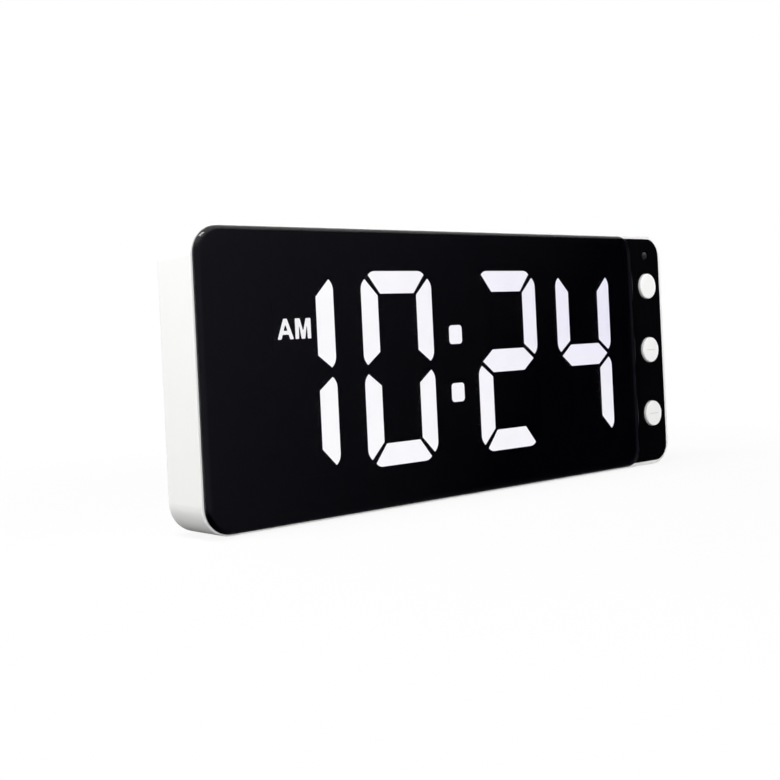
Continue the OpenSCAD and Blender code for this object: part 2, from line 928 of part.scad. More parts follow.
// Chip that keeps the time
module clock_chip() {
    color(chip_black)
        upright()
            translate([clock_pos[0], clock_pos[1], board_back])
                flat_chip(clock_size, clock_pin_count);
}

// Timing crystal in its can, lying on the board
module crystal() {
    color(steel)
        upright()
            translate([crystal_pos[0], crystal_pos[1], board_back + crystal_r])
                rotate([0, 90, 0])
                    cylinder(h = crystal_len, r = crystal_r, center = true);
}

// Row of power capacitors beside the socket
module capacitors() {
    color([0.75, 0.55, 0.15])
        upright()
            translate([socket_x - capacitor_inset, socket_z + capacitor_rise, board_back + capacitor_size[2] / 2])
                for (i = [0 : capacitor_count - 1])
                    translate([0, i * capacitor_step, 0])
                        cube(capacitor_size, center = true);
}

// Row of resistors for the strokes
module resistors() {
    color(chip_black)
        upright()
            translate([resistor_row[0], resistor_row[1], board_back + resistor_size[2] / 2])
                for (i = [0 : resistor_count - 1])
                    translate([i * resistor_step, 0, 0])
                        cube(resistor_size, center = true);
}

// Power socket: a rolled metal mouth with a tongue inside
module usb_socket() {
    color(steel)
        upright()
            translate([socket_x, socket_z, socket_y])
                rotate([0, -90, 0]) {
                    difference() {
                        block(socket_h, socket_w, socket_len, socket_r);
                        translate([0, 0, -cut])
                            block(
                                socket_h - 2 * socket_skin,
                                socket_w - 2 * socket_skin,
                                socket_len - socket_back + cut,
                                socket_r - socket_skin
                            );
                    }
                    translate([-tongue_t / 2, -tongue_w / 2, socket_len - socket_back - tongue_len])
                        cube([tongue_t, tongue_w, tongue_len + socket_back / 2]);
                }
}

// Round sounder with its port
module sounder() {
    color(chip_black)
        upright()
            translate([sounder_x, sounder_z, board_back])
                difference() {
                    cylinder(h = sounder_t, r = sounder_r);
                    translate([0, 0, sounder_t - sounder_port_t])
                        cylinder(h = sounder_port_t + cut, r = sounder_port_r);
                }
}

// Light sensor: a dome on a short body, a flange and two leads down to the board
module light_sensor() {
    lead_z = sensor_body_z + sensor_body - sensor_flange_t;
    color([0.15, 0.15, 0.18])
        upright()
            translate([cap_x, sensor_z, 0]) {
                translate([0, 0, sensor_body_z])
                    sphere(sensor_r);
                translate([0, 0, sensor_body_z])
                    cylinder(h = sensor_body, r = sensor_r);
                translate([0, 0, lead_z])
                    cylinder(h = sensor_flange_t, r = sensor_flange_r);
                for (side = [-1, 1])
                    translate([side * lead_x - lead_w / 2, -lead_w / 2, lead_z])
                        cube([lead_w, lead_w, board_z - lead_z]);
            }
}

// Bodies of the three switches behind the caps
module tact_switches() {
    color([0.2, 0.2, 0.21])
        upright()
            for (z = cap_zs)
                translate([cap_x, z, switch_z])
                    difference() {
                        block(switch_w, switch_w, switch_h, switch_r);
                        translate([0, 0, -cut])
                            cylinder(
                                h = plunger_in + cap_travel + plunger_room + cut,
                                r = plunger_r + plunger_gap
                            );
                    }
}

// White push cap with its hidden flange, turned about its own axis
module cap(z) {
    color(white)
        upright()
            translate([cap_x, z, plate_z - cap_proud]) {
                rotate_extrude()
                    edge_profile(cap_r, flange_z + flange_t - plate_z + cap_proud, cap_edge_r, 0);
                translate([0, 0, flange_z - plate_z + cap_proud])
                    cylinder(h = flange_t, r = flange_r);
            }
}

// Plunger that a cap pushes into its switch
module plunger(z) {
    color(chip_black)
        upright()
            translate([cap_x, z, plunger_z])
                cylinder(h = switch_z - plunger_z + plunger_in, r = plunger_r);
}

module set_cap() {
    cap(cap_zs[0]);
}

module set_plunger() {
    plunger(cap_zs[0]);
}

module up_cap() {
    cap(cap_zs[1]);
}

module up_plunger() {
    plunger(cap_zs[1]);
}

module down_cap() {
    cap(cap_zs[2]);
}

module down_plunger() {
    plunger(cap_zs[2]);
}

// Coin cell that keeps the time when the power is off
module coin_cell() {
    color(steel)
        upright()
            translate([cell_x, cell_z, cell_front])
                rotate_extrude()
                    edge_profile(cell_r, cell_t, cell_edge_r, cell_edge_r);
}

// Two leaf contacts of the cell, one under it and one at its side, with tails to the board
module cell_contacts() {
    tail_z = board_back;
    color([0.85, 0.75, 0.45])
        upright()
            translate([cell_x, cell_z, 0]) {
                translate([-nest_r - contact_t / 2, -tail_w / 2, well_floor])
                    cube([nest_r + contact_w, tail_w, contact_t]);
                translate([-nest_r - contact_t / 2, -tail_w / 2, tail_z])
                    cube([contact_t, tail_w, well_floor - tail_z + contact_t]);
                translate([cell_r, -tail_w / 2, tail_z])
                    cube([contact_t, tail_w, cell_front + cell_t / 2 - tail_z]);
            }
}

// Round cover of the cell, twisted shut with a coin
module battery_cover() {
    color(white)
        upright()
            translate([cell_x, cell_z, 0])
                difference() {
                    union() {
                        translate([0, 0, cover_front])
                            cylinder(h = cover_t, r = cover_r);
                        translate([0, 0, lug_z])
                            cylinder(h = cover_front - lug_z, r = cover_r);
                        translate([0, 0, lug_z])
                            lugs(cover_r + lug_out, lug_angle - lug_ease_angle, 0, lug_t);
                    }
                    translate([0, 0, lug_z - cut])
                        cylinder(h = cover_front - lug_z + cut, r = ring_r);
                    translate([0, 0, cover_back - coin_slot_t])
                        block(coin_slot_len, coin_slot_w, coin_slot_t + cut, coin_slot_w / 2);
                }
}

// White leg that folds out of the back on its barrel
module stand_leg() {
    leg_front = leg_back - leg_t;
    color(white)
        upright()
            difference() {
                union() {
                    translate([0, leg_pin_z - leg_len / 2, leg_front])
                        linear_extrude(leg_t) {
                            translate([0, leg_corner_r / 2])
                                square([leg_w, leg_len - leg_corner_r], center = true);
                            translate([0, leg_corner_r - leg_len / 2])
                                square([leg_w - 2 * leg_corner_r, 2 * leg_corner_r], center = true);
                            for (side = [-1, 1])
                                translate([side * (leg_w / 2 - leg_corner_r), leg_corner_r - leg_len / 2])
                                    circle(leg_corner_r);
                        }
                    at_leg_pin()
                        cylinder(h = leg_w, r = barrel_r, center = true);
                }
                at_leg_pin()
                    cylinder(h = leg_w + 2 * cut, r = leg_pin_r + pin_clearance, center = true);
                translate([0, leg_pin_z - leg_len, leg_front - cut])
                    cylinder(h = leg_t + 2 * cut, r = thumb_r);
                translate([0, leg_pin_z - leg_len / 2, leg_front - cut])
                    linear_extrude(relief_t + cut)
                        rounded_rect(leg_w - 2 * relief_edge, leg_len - 4 * relief_edge, leg_corner_r);
                for (side = [-1, 1])
                    translate([side * tip_x - tip_w / 2, leg_pin_z - leg_len - cut, leg_back - tip_t])
                        cube([tip_w, tip_h + cut, tip_t + cut]);
            }
}

// Steel pin that the leg turns on
module stand_pin() {
    color(steel)
        upright()
            at_leg_pin()
                cylinder(h = pin_len, r = leg_pin_r, center = true);
}

// Rubber tips let into the end of the leg
module stand_tips() {
    color(rubber)
        upright()
            for (side = [-1, 1])
                translate([side * tip_x - tip_w / 2, leg_pin_z - leg_len, leg_back - tip_t])
                    cube([tip_w, tip_h, tip_t]);
}

// Two rubber pads let into the underside
module foot_pads() {
    color(rubber)
        upright()
            for (side = [-1, 1])
                translate([side * pad_x, pad_t, shell_mid])
                    rotate([90, 0, 0])
                        block(pad_w, pad_d, pad_t, pad_r);
}

// Self-tapping screw seen from its head, which faces back; its shank runs forward
module screw(head_r, head_t, shank_r, len) {
    difference() {
        cylinder(h = head_t, r = head_r);
        for (turn = [0, 90])
            rotate(turn)
                translate([0, 0, head_t])
                    cube([drive_len, drive_w, 2 * drive_t], center = true);
    }
    translate([0, 0, -len])
        cylinder(h = len, r = shank_r);
}

// Four screws that hold the back moulding to the plate's posts
module case_screws() {
    color(steel)
        upright()
            for (p = case_screw_places())
                translate([p[0], p[1], screw_seat])
                    screw(screw_head_r, screw_head_t, screw_shank_r, screw_len);
}

// Four screws that hold the board to the plate's bosses
module board_screws() {
    color(steel)
        upright()
            for (p = board_screw_places())
                translate([p[0], p[1], board_back])
                    screw(board_screw_head_r, board_screw_head_t, board_screw_r, board_screw_len);
}

rear_shell();
front_plate();
display_lens();
display_mask();
lens_adhesive();
diffuser_sheet();
light_box();
led_chips();
main_board();
display_driver();
clock_chip();
crystal();
capacitors();
resistors();
usb_socket();
sounder();
light_sensor();
tact_switches();
set_cap();
set_plunger();
up_cap();
up_plunger();
down_cap();
down_plunger();
coin_cell();
cell_contacts();
battery_cover();
stand_leg();
stand_pin();
stand_tips();
foot_pads();
case_screws();
board_screws();
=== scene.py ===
"""Slim desk and wall clock: its finishes, clear lens, lit display, caps, studio and camera.

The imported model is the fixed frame. Every length is in metres, with the clock standing on z = 0
and its front looking along -y.
"""

import math

import bmesh
import bpy
from mathutils import Matrix, Vector


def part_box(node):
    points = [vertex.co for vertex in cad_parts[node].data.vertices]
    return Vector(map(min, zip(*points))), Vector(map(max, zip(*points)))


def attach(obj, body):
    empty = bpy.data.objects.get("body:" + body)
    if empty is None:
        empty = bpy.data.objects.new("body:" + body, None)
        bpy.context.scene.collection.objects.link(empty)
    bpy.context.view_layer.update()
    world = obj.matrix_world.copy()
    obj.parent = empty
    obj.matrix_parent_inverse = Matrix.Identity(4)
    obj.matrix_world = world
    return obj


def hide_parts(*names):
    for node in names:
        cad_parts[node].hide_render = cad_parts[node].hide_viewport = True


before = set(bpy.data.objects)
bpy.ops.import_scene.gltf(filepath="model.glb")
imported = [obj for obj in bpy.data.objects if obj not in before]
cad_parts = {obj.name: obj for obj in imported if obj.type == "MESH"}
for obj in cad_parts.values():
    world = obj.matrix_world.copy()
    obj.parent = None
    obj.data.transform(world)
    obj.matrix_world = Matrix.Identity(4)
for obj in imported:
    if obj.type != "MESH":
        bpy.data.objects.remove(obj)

bl_info = {
    "name": "Desk and wall clock",
    "version": (1, 0, 0),
    "blender": (4, 5, 0),
    "location": "View3D > Sidebar > Clock",
    "description": "Finishes, clear lens, lit display, caps and studio of a slim digital clock",
    "category": "Object",
}

MM = 0.001
QUARTER = math.pi / 2

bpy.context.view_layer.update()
LENS_LOW, LENS_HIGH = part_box("display_lens")
FILM_LOW, FILM_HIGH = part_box("display_mask")
SHEET_LOW, SHEET_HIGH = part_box("diffuser_sheet")
CASE_LOW, CASE_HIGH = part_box("rear_shell")
MIDDLE_Z = (CASE_LOW.z + CASE_HIGH.z) / 2

# Depths of the milky panes between the film and the sheet, a hair clear of both
PANE_FRONT = FILM_HIGH.y + 0.005 * MM
PANE_BACK = SHEET_LOW.y - 0.012 * MM
LETTER_DEPTH = 0.03 * MM

# Base colours of a lit pane, painted near black as painted shade of its dark cell with the light off
PANE_SHADE_DARK = (0.02, 0.02, 0.022)
PANE_SHADE_PALE = (0.03, 0.03, 0.032)

# Brightness of the lit panes, where 1 is white
STROKE_LIGHT = 1.055
LETTER_LIGHT = 0.98

# Strokes of a digit: a is the top one, then clockwise to f, and g is the middle one
STROKES_OF = {
    "0": "abcdef",
    "1": "bc",
    "2": "abdeg",
    "3": "abcdg",
    "4": "bcfg",
    "5": "acdfg",
    "6": "acdefg",
    "7": "abc",
    "8": "abcdefg",
    "9": "abcdfg",
}

# Upright stroke: how far its ends taper in, the radius there, and where its outer and inner edges end
UPRIGHT_TAPER = 1.4 * MM
UPRIGHT_END_RADIUS = 3.4 * MM
UPRIGHT_FOOT = 1.17 * MM
UPRIGHT_INNER_FOOT = 4.37 * MM
UPRIGHT_HEAD_DROP = 2.03 * MM
UPRIGHT_INNER_DROP = 6.33 * MM

# Top stroke: the drop of its ends, the radius there, and its ends and shoulders from the digit's side
FLAT_TAPER = 1.03 * MM
FLAT_END_RADIUS = 2.9 * MM
FLAT_TIP_IN = 2.57 * MM
FLAT_SHOULDER_IN = 6.47 * MM

# Middle stroke: its tips and shoulders from the digit's side
MIDDLE_TIP_IN = 1.9 * MM
MIDDLE_SHOULDER_IN = 5.95 * MM

# Letters: their height in the units of their points, the step between them and the corners of their window
LETTER_UNITS = 5.1
LETTER_STEP_SHARE = 0.53
WINDOW_RADIUS = 0.1 * MM

# Nearly all of a noise lies in this band
NOISE_BAND = (0.3, 0.7)

# Sizes of the patches in plastic and in metal, and of the lines in metal with how far they are drawn out
MOULDED_PATCH = 14 * MM
METAL_PATCH = 3 * MM
METAL_LINE = 0.18 * MM
METAL_DRAW = 0.06

# Edges sharper than this stay sharp, and points nearer than this become one
SHARP_ANGLE = math.radians(40)
WELD_DISTANCE = 1e-7

# Floor: its sides, how far it lies under the pads, its greys, and how white it is beside the clock
FLOOR_SIDES = 96
FLOOR_DROP = 0.05 * MM
FLOOR_DARK = (0.14, 0.14, 0.14)
FLOOR_LIGHT = (0.15, 0.15, 0.15)
FLOOR_SEEN = (0.98, 0.98, 0.98)
FLOOR_MOTTLE = 30 * MM
FLOOR_NEAR_WHITE = 0.88

# Bands of the surround: where a change starts and ends along an axis, for a direction of length 1
BEHIND_BAND = (0.1, 0.5)
LEVEL_BAND = (-0.45, -0.15)
ABOVE_BAND = (0.35, 0.75)
LEFT_BAND = (-0.65, -0.35)
LOW_BAND = (0.3, 0.5)
CARD_AXIS = (-1.0, 0.0, 0.4)
CARD_BAND = (-0.755, -0.1)
FRONT_AXIS = (0.25, -0.97, 0.0)
FRONT_BAND = (0.5, 0.78)

LAMP_SIZE = (0.5, 0.22)
LAMP_PLACE = (-0.33, -0.05, 0.78)
CAMERA_SENSOR = 36
CAMERA_CLIP = 0.01


def length(name, description, default, low=0.0, high=1.0):
    """A length that the user can change, in metres."""
    return bpy.props.FloatProperty(
        name=name,
        description=description,
        default=default,
        min=low,
        max=high,
        precision=5,
        subtype="DISTANCE",
        unit="LENGTH",
    )


def share(name, description, default, high=1.0):
    """A plain number from 0 up."""
    return bpy.props.FloatProperty(
        name=name, description=description, default=default, min=0.0, max=high, precision=4
    )


def colour(name, description, default):
    """A surface colour, in linear light."""
    return bpy.props.FloatVectorProperty(
        name=name,
        description=description,
        default=default,
        min=0.0,
        max=1.0,
        size=3,
        subtype="COLOR",
    )


def angle(name, description, degrees):
    """An angle, given here in degrees."""
    return bpy.props.FloatProperty(
        name=name,
        description=description,
        default=math.radians(degrees),
        subtype="ANGLE",
        unit="ROTATION",
    )


class ClockLensSizes(bpy.types.PropertyGroup):
    """Sizes of the clear front lens."""

    left_radius: length("Left corners", "Radius of the two left corners", 7 * MM)
    right_radius: length("Right corners", "Radius of the two right corners", 5.9 * MM)
    edge_radius: length("Front edge", "Rounding of the front edge", 1.35 * MM)
    border: length("Printed border", "Width of the black print round the back of the lens", 0.6 * MM)
    film_gap: length("Gap to the film", "Air between the lens and the film", 0.02 * MM)


class ClockDisplaySizes(bpy.types.PropertyGroup):
    """Sizes of the strokes, colon and half-day signs, and what they show."""

    shown: bpy.props.StringProperty(
        name="Time", description="Four digits, hours first", default="1024", maxlen=4
    )
    afternoon: bpy.props.BoolProperty(
        name="Afternoon", description="Lights PM in place of AM", default=False
    )
    left_band: length("Left band", "Black band left of the digits", 15.65 * MM)
    right_band: length("Right band", "Black band right of the digits", 12.11 * MM)
    high_band: length("Top and bottom band", "Black band above and below the digits", 10.86 * MM)
    digit_share: share("Digit width", "Width of a digit as a share of the row of digits", 0.185)
    pitch_share: share("Digit pitch", "Step between digits as a share of the row", 0.2527)
    upright: length("Upright strokes", "Width of the upright strokes", 5.65 * MM)
    flat: length("Flat strokes", "Width of the top and bottom strokes", 5.87 * MM)
    middle: length("Middle stroke", "Width of the middle stroke", 6.4 * MM)
    dot_width: length("Dot width", "Width of a colon dot", 4.9 * MM)
    dot_height: length("Dot height", "Height of a colon dot", 5.15 * MM)
    dot_radius: length("Dot corners", "Radius of a colon dot's corners", 1 * MM)
    dot_pitch: length("Dot pitch", "Distance between the colon dots", 15.85 * MM)
    sign_width: length("Sign width", "Width of a half-day window", 11.2 * MM)
    sign_height: length("Sign height", "Height of a half-day window", 6.2 * MM)
    sign_rise: length("Sign rise", "Middle of the case to the middle of a sign", 11.1 * MM)
    letter_height: length("Letter height", "Height of the half-day letters", 5.05 * MM)
    letter_round: length("Letter corners", "Rounding of the letters' corners", 0.25 * MM)
    letter_left: length("Letters left", "How far left of the window's middle the letters stand", 0.25 * MM)
    letter_up: length("Letters up", "How far above the window's middle the letters stand", 0.14 * MM)
    overlap: length("Overlap", "How far a pane runs behind the film round it", 0.12 * MM)


class ClockCapSizes(bpy.types.PropertyGroup):
    """Sizes of the marks on the caps."""

    mark_width: length("Mark width", "Width of a mark's line", 0.26 * MM)
    mark_height: length("Mark height", "How far a mark stands out of its cap", 0.012 * MM)
    up_mark: length("Up mark", "Length of the mark on the upper of the two stepping caps", 4.2 * MM)
    down_mark: length("Down mark", "Length of the mark on the lower stepping cap", 4.2 * MM)


class ClockColours(bpy.types.PropertyGroup):
    """Colours of the clock's own pieces."""

    case: colour("Case", "White of the case", (0.87, 0.87, 0.855))
    caps: colour("Caps", "White of the caps", (0.93, 0.93, 0.92))
    black: colour("Front", "Black of the front plate", (0.0012, 0.0011, 0.0016))
    film: colour("Film", "Black of the printed film", (0.002, 0.002, 0.0026))
    lit_left: colour("Light, left", "Colour of the strokes at the left end", (0.985, 0.978, 1.0))
    lit_right: colour("Light, right", "Colour of the strokes at the right", (0.875, 0.857, 0.99))
    # The marks' grey is painted shade, standing for the shade in engraved lines
    mark: colour("Marks", "Grey of the marks on the caps", (0.72, 0.72, 0.71))
    rubber: colour("Rubber", "Grey of the pads and tips", (0.028, 0.028, 0.03))
    board: colour("Board", "Green of the circuit board", (0.012, 0.085, 0.035))


class ClockStudioSizes(bpy.types.PropertyGroup):
    """The floor, the light and the camera."""

    floor_radius: length("Floor", "Radius of the floor", 0.9, high=5.0)
    fade_start: length("Fade start", "Where the floor starts to fade to white", 0.1)
    fade_end: length("Fade end", "Where the floor is white", 0.26)
    lamp_power: bpy.props.FloatProperty(
        name="High lamp",
        description="Power of the lamp that glints on the lens's edge",
        default=3.8,
        unit="POWER",
    )
    fill_level: share("Fill", "Light from all over, where 1 is white", 0.12, high=4.0)
    round_fill: share("Low fill", "More light from all round, low down", 1.35, high=4.0)
    left_fill: share("Left fill", "More light from the left, low down", 1.39, high=8.0)
    front_fill: share("Front fill", "More light from the front, low down", 1.75, high=8.0)
    card_left: colour("Dark card, left", "Colour that the left of the front mirrors", (0.21, 0.2, 0.27))
    card_right: colour("Dark card, right", "Colour that the right of the front mirrors", (0.0, 0.0, 0.003))
    camera_place: bpy.props.FloatVectorProperty(
        name="Camera",
        description="Place of the camera",
        default=(-0.23893, -0.24678, 0.04545),
        precision=5,
        subtype="TRANSLATION",
        unit="LENGTH",
    )
    camera_yaw: angle("Yaw", "Turn of the view from +y towards +x", 41.261)
    camera_pitch: angle("Pitch", "Fall of the view below level", 0.194)
    camera_roll: angle("Roll", "Lean of the view", -2.713)
    focal_length: bpy.props.FloatProperty(
        name="Focal length", description="Focal length for a 36 mm sensor", default=56.10, unit="CAMERA"
    )
    shift_across: bpy.props.FloatProperty(
        name="Shift across",
        description="Shift of the view to the right, as a share of the frame",
        default=-0.0017,
    )
    shift_up: bpy.props.FloatProperty(
        name="Shift up",
        description="Shift of the view up, as a share of the frame",
        default=-0.06446,
    )


# Node trees


def add(tree, kind, inputs=None, **settings):
    """Adds a node, sets its properties, and fills or links the named inputs."""
    made = tree.nodes.new(kind)
    for name, value in settings.items():
        setattr(made, name, value)
    for name, value in (inputs or {}).items():
        if isinstance(value, bpy.types.NodeSocket):
            tree.links.new(value, made.inputs[name])
        else:
            made.inputs[name].default_value = value
    return made


def new_finish(name):
    """An empty material with its tree, its output and its place on the surface."""
    material = bpy.data.materials.new(name)
    material.use_nodes = True
    tree = material.node_tree
    tree.nodes.clear()
    place = add(tree, "ShaderNodeTexCoord").outputs["Object"]
    return material, tree, place


def close(tree, surface):
    """Ends a tree with its surface."""
    add(tree, "ShaderNodeOutputMaterial", {"Surface": surface.outputs[0]})


def noise(tree, place, size, detail=2.0, roughness=0.5):
    """Soft noise whose features are about this size across."""
    return add(
        tree,
        "ShaderNodeTexNoise",
        {"Vector": place, "Scale": 1 / size, "Detail": detail, "Roughness": roughness},
    ).outputs["Fac"]


def ramp(tree, value, low, high, to_low, to_high, smooth=False):
    """Turns low..high into to_low..to_high."""
    return add(
        tree,
        "ShaderNodeMapRange",
        {"Value": value, "From Min": low, "From Max": high, "To Min": to_low, "To Max": to_high},
        interpolation_type="SMOOTHSTEP" if smooth else "LINEAR",
    ).outputs["Result"]


def blend(tree, value, first, second):
    """Mixes two colours, which are the mix node's inputs 6 and 7, with the result at output 2."""
    made = add(tree, "ShaderNodeMix", {0: value}, data_type="RGBA")
    for socket, shade in ((6, first), (7, second)):
        if isinstance(shade, bpy.types.NodeSocket):
            tree.links.new(shade, made.inputs[socket])
        else:
            made.inputs[socket].default_value = (*shade, 1.0)
    return made.outputs[2]


def join(tree, operation, *values):
    """A sum or product of values, or the larger of two."""
    return add(tree, "ShaderNodeMath", dict(enumerate(values)), operation=operation).outputs[0]


def share_along(tree, direction, axis):
    """How far a direction runs along an axis."""
    inputs = {0: direction, 1: axis}
    return add(tree, "ShaderNodeVectorMath", inputs, operation="DOT_PRODUCT").outputs["Value"]


def tinted(shade, share_of):
    """The same colour, lighter or darker."""
    return tuple(min(1.0, part * share_of) for part in shade)


def grain(tree, height, depth):
    """Relief this deep from a height of 0 to 1."""
    return add(
        tree, "ShaderNodeBump", {"Height": height, "Distance": depth, "Strength": 1.0}
    ).outputs["Normal"]


def separate(tree, place):
    """x, y and z of a place."""
    return add(tree, "ShaderNodeSeparateXYZ", {"Vector": place}).outputs


def moulded(name, shade, gloss, grain_size, grain_depth, tone=0.03, wear=0.06, **fixed):
    """Moulded plastic or rubber: slow changes of tone, patches in the gloss, and a fine grain.

    gloss is the roughness about which the patches vary by wear.
    """
    material, tree, place = new_finish(name)
    patches = noise(tree, place, MOULDED_PATCH)
    mottle = blend(tree, patches, tinted(shade, 1 - tone), tinted(shade, 1 + tone))
    normal = grain(tree, noise(tree, place, grain_size, detail=3.0), grain_depth)
    surface = add(
        tree,
        "ShaderNodeBsdfPrincipled",
        {
            "Base Color": mottle,
            "Roughness": ramp(tree, patches, *NOISE_BAND, gloss - wear, gloss + wear),
            "Normal": normal,
            **fixed,
        },
    )
    close(tree, surface)
    return material


def drawn_metal(name, shade, gloss, along, grain_depth=0.004 * MM):
    """Bare or plated metal with fine lines along one axis."""
    material, tree, place = new_finish(name)
    stretch = [1.0, 1.0, 1.0]
    stretch["xyz".index(along)] = METAL_DRAW
    lined = add(tree, "ShaderNodeMapping", {"Vector": place, "Scale": stretch}).outputs["Vector"]
    lines = noise(tree, lined, METAL_LINE, detail=4.0)
    patches = noise(tree, place, METAL_PATCH)
    surface = add(
        tree,
        "ShaderNodeBsdfPrincipled",
        {
            "Base Color": blend(tree, patches, tinted(shade, 0.9), shade),
            "Metallic": 1.0,
            "Roughness": ramp(tree, lines, *NOISE_BAND, gloss - 0.06, gloss + 0.1),
            "Normal": grain(tree, lines, grain_depth),
        },
    )
    close(tree, surface)
    return material


def case_finish(colours):
    """White case: satin on its sides and rim, spark-grained on its back."""
    material, tree, place = new_finish("white_case_moulding")
    grain_start, grain_full, grain_depth = 6.6 * MM, 8.5 * MM, 0.035 * MM
    patch_size, fine_size, coarse_size = 22 * MM, 0.35 * MM, 0.6 * MM
    fine_share = 0.06
    darker, lighter = 0.985, 1.012
    satin, spark = (0.285, 0.325), (0.44, 0.56)
    back = ramp(tree, separate(tree, place)["Y"], grain_start, grain_full, 0.0, 1.0, smooth=True)
    patches = noise(tree, place, patch_size)
    shade = blend(tree, patches, tinted(colours.case, darker), tinted(colours.case, lighter))
    fine = noise(tree, place, fine_size, detail=3.0)
    coarse = noise(tree, place, coarse_size, detail=4.0, roughness=0.65)
    depth = add(
        tree,
        "ShaderNodeMix",
        {
            0: back,
            2: join(tree, "MULTIPLY", fine, fine_share),
            3: coarse,
        },
        data_type="FLOAT",
    ).outputs[0]
    sheen = ramp(tree, patches, *NOISE_BAND, *satin)
    dull = ramp(tree, coarse, *NOISE_BAND, *spark)
    gloss = add(tree, "ShaderNodeMix", {0: back, 2: sheen, 3: dull}, data_type="FLOAT").outputs[0]
    surface = add(
        tree,
        "ShaderNodeBsdfPrincipled",
        {
            "Base Color": shade,
            "Roughness": gloss,
            "Normal": grain(tree, depth, grain_depth),
            "Specular IOR Level": 0.35,
        },
    )
    close(tree, surface)
    return material


def board_finish(colours):
    """Green circuit board with copper lines under its lacquer."""
    material, tree, place = new_finish("green_circuit_board")
    cell_size, line_band, line_height = 4 * MM, (0.03, 0.07), 0.03 * MM
    cells = add(
        tree,
        "ShaderNodeTexVoronoi",
        {"Vector": place, "Scale": 1 / cell_size},
        feature="DISTANCE_TO_EDGE",
        distance="EUCLIDEAN",
    ).outputs["Distance"]
    lines = ramp(tree, cells, *line_band, 1.0, 0.0, smooth=True)
    shade = blend(tree, lines, colours.board, tinted(colours.board, 2.0))
    surface = add(
        tree,
        "ShaderNodeBsdfPrincipled",
        {"Base Color": shade, "Roughness": 0.3, "Normal": grain(tree, lines, line_height)},
    )
    close(tree, surface)
    return material


def chip_finish():
    """Light chips: a pale body with a yellow phosphor window in grains."""
    material, tree, place = new_finish("light_chip_phosphor")
    grain_size, grain_depth = 0.12 * MM, 0.01 * MM
    pale_yellow, deep_yellow = (0.95, 0.78, 0.22), (0.85, 0.6, 0.1)
    grains = add(
        tree, "ShaderNodeTexVoronoi", {"Vector": place, "Scale": 1 / grain_size}
    ).outputs["Distance"]
    shade = blend(tree, grains, pale_yellow, deep_yellow)
    surface = add(
        tree,
        "ShaderNodeBsdfPrincipled",
        {"Base Color": shade, "Roughness": 0.45, "Normal": grain(tree, grains, grain_depth)},
    )
    close(tree, surface)
    return material


def lens_finish():
    """Clear acrylic with a soft coating that keeps the front from mirroring the room."""
    material, tree, place = new_finish("clear_lens_acrylic")
    ripple_size, ripple_depth = 45 * MM, 0.004 * MM
    ripple = noise(tree, place, ripple_size, detail=1.0)
    surface = add(
        tree,
        "ShaderNodeBsdfPrincipled",
        {
            "Base Color": blend(tree, ripple, (0.985, 0.985, 0.99), (1.0, 1.0, 1.0)),
            "Roughness": 0.0,
            "IOR": 1.49,
            "Transmission Weight": 1.0,
            "Specular IOR Level": 0.4,
            "Normal": grain(tree, ripple, ripple_depth),
        },
    )
    close(tree, surface)
    return material


def lit_finish(name, colours, level):
    """Milky pane with light behind it: whiter at the left end of the row, and softly uneven. Its base colour
    is painted near black as painted shade.
    """
    material, tree, place = new_finish(name)
    axes = separate(tree, place)
    fall_start, fall_end = LENS_LOW.x + 45 * MM, LENS_HIGH.x - 8 * MM
    low, high, low_share = MIDDLE_Z - 20 * MM, MIDDLE_Z + 12 * MM, 0.35
    cloud_size, cloud_share = 6 * MM, 0.015
    across = ramp(tree, axes["X"], fall_start, fall_end, 0.0, 1.0)
    risen = ramp(tree, axes["Z"], low, high, low_share, 1.0, smooth=True)
    fall = join(tree, "MULTIPLY", across, risen)
    shade = blend(tree, fall, colours.lit_left, colours.lit_right)
    dimmer, brighter = level * (1 - cloud_share), level * (1 + cloud_share)
    clouds = ramp(tree, noise(tree, place, cloud_size), *NOISE_BAND, dimmer, brighter)
    surface = add(
        tree,
        "ShaderNodeBsdfPrincipled",
        {
            "Base Color": blend(tree, clouds, PANE_SHADE_DARK, PANE_SHADE_PALE),
            "Roughness": 0.6,
            "Specular IOR Level": 0.0,
            "Emission Color": shade,
            "Emission Strength": clouds,
        },
    )
    close(tree, surface)
    return material


def printed_black(name, colours):
    """Matt black print on film and on the back of the lens."""
    return moulded(
        name,
        tuple(colours.film),
        gloss=0.6,
        grain_size=0.3 * MM,
        grain_depth=0.002 * MM,
        tone=0.2,
        **{"Specular IOR Level": 0.05},
    )


def painted_shade_pane_finish(colours):
    """Pane painted black, as painted shade of an unlit stroke's dark cell: an unlit stroke looks as black as
    the film round it.
    """
    return moulded(
        "unlit_pane_painted_shade",
        tuple(colours.film),
        gloss=0.55,
        grain_size=0.4 * MM,
        grain_depth=0.002 * MM,
        tone=0.15,
        **{"Specular IOR Level": 0.05},
    )


# Outlines, as (x, z) points seen from the front


def arc(x, z, radius, start, end, steps=6):
    """Points along an arc about (x, z), with its angles in radians."""
    turns = [start + (end - start) * i / steps for i in range(steps + 1)]
    return [(x + radius * math.cos(t), z + radius * math.sin(t)) for t in turns]


def moved(points, x, z, mirror_x=1, mirror_z=1):
    """The outline mirrored about its own centre where asked, then moved to (x, z)."""
    made = [(x + mirror_x * px, z + mirror_z * pz) for px, pz in points]
    return made if mirror_x * mirror_z > 0 else made[::-1]


def grown(points, reach):
    """A convex anticlockwise outline, grown by reach on every side."""
    made = []
    for before, here, after in zip(points[-1:] + points[:-1], points, points[1:] + points[:1]):
        first = Vector((here[0] - before[0], here[1] - before[1])).normalized()
        second = Vector((after[0] - here[0], after[1] - here[1])).normalized()
        out = Vector((first.y + second.y, -first.x - second.x)).normalized()
        spread = max(0.5, out.dot(Vector((first.y, -first.x))))
        made.append((here[0] + out.x * reach / spread, here[1] + out.y * reach / spread))
    return made


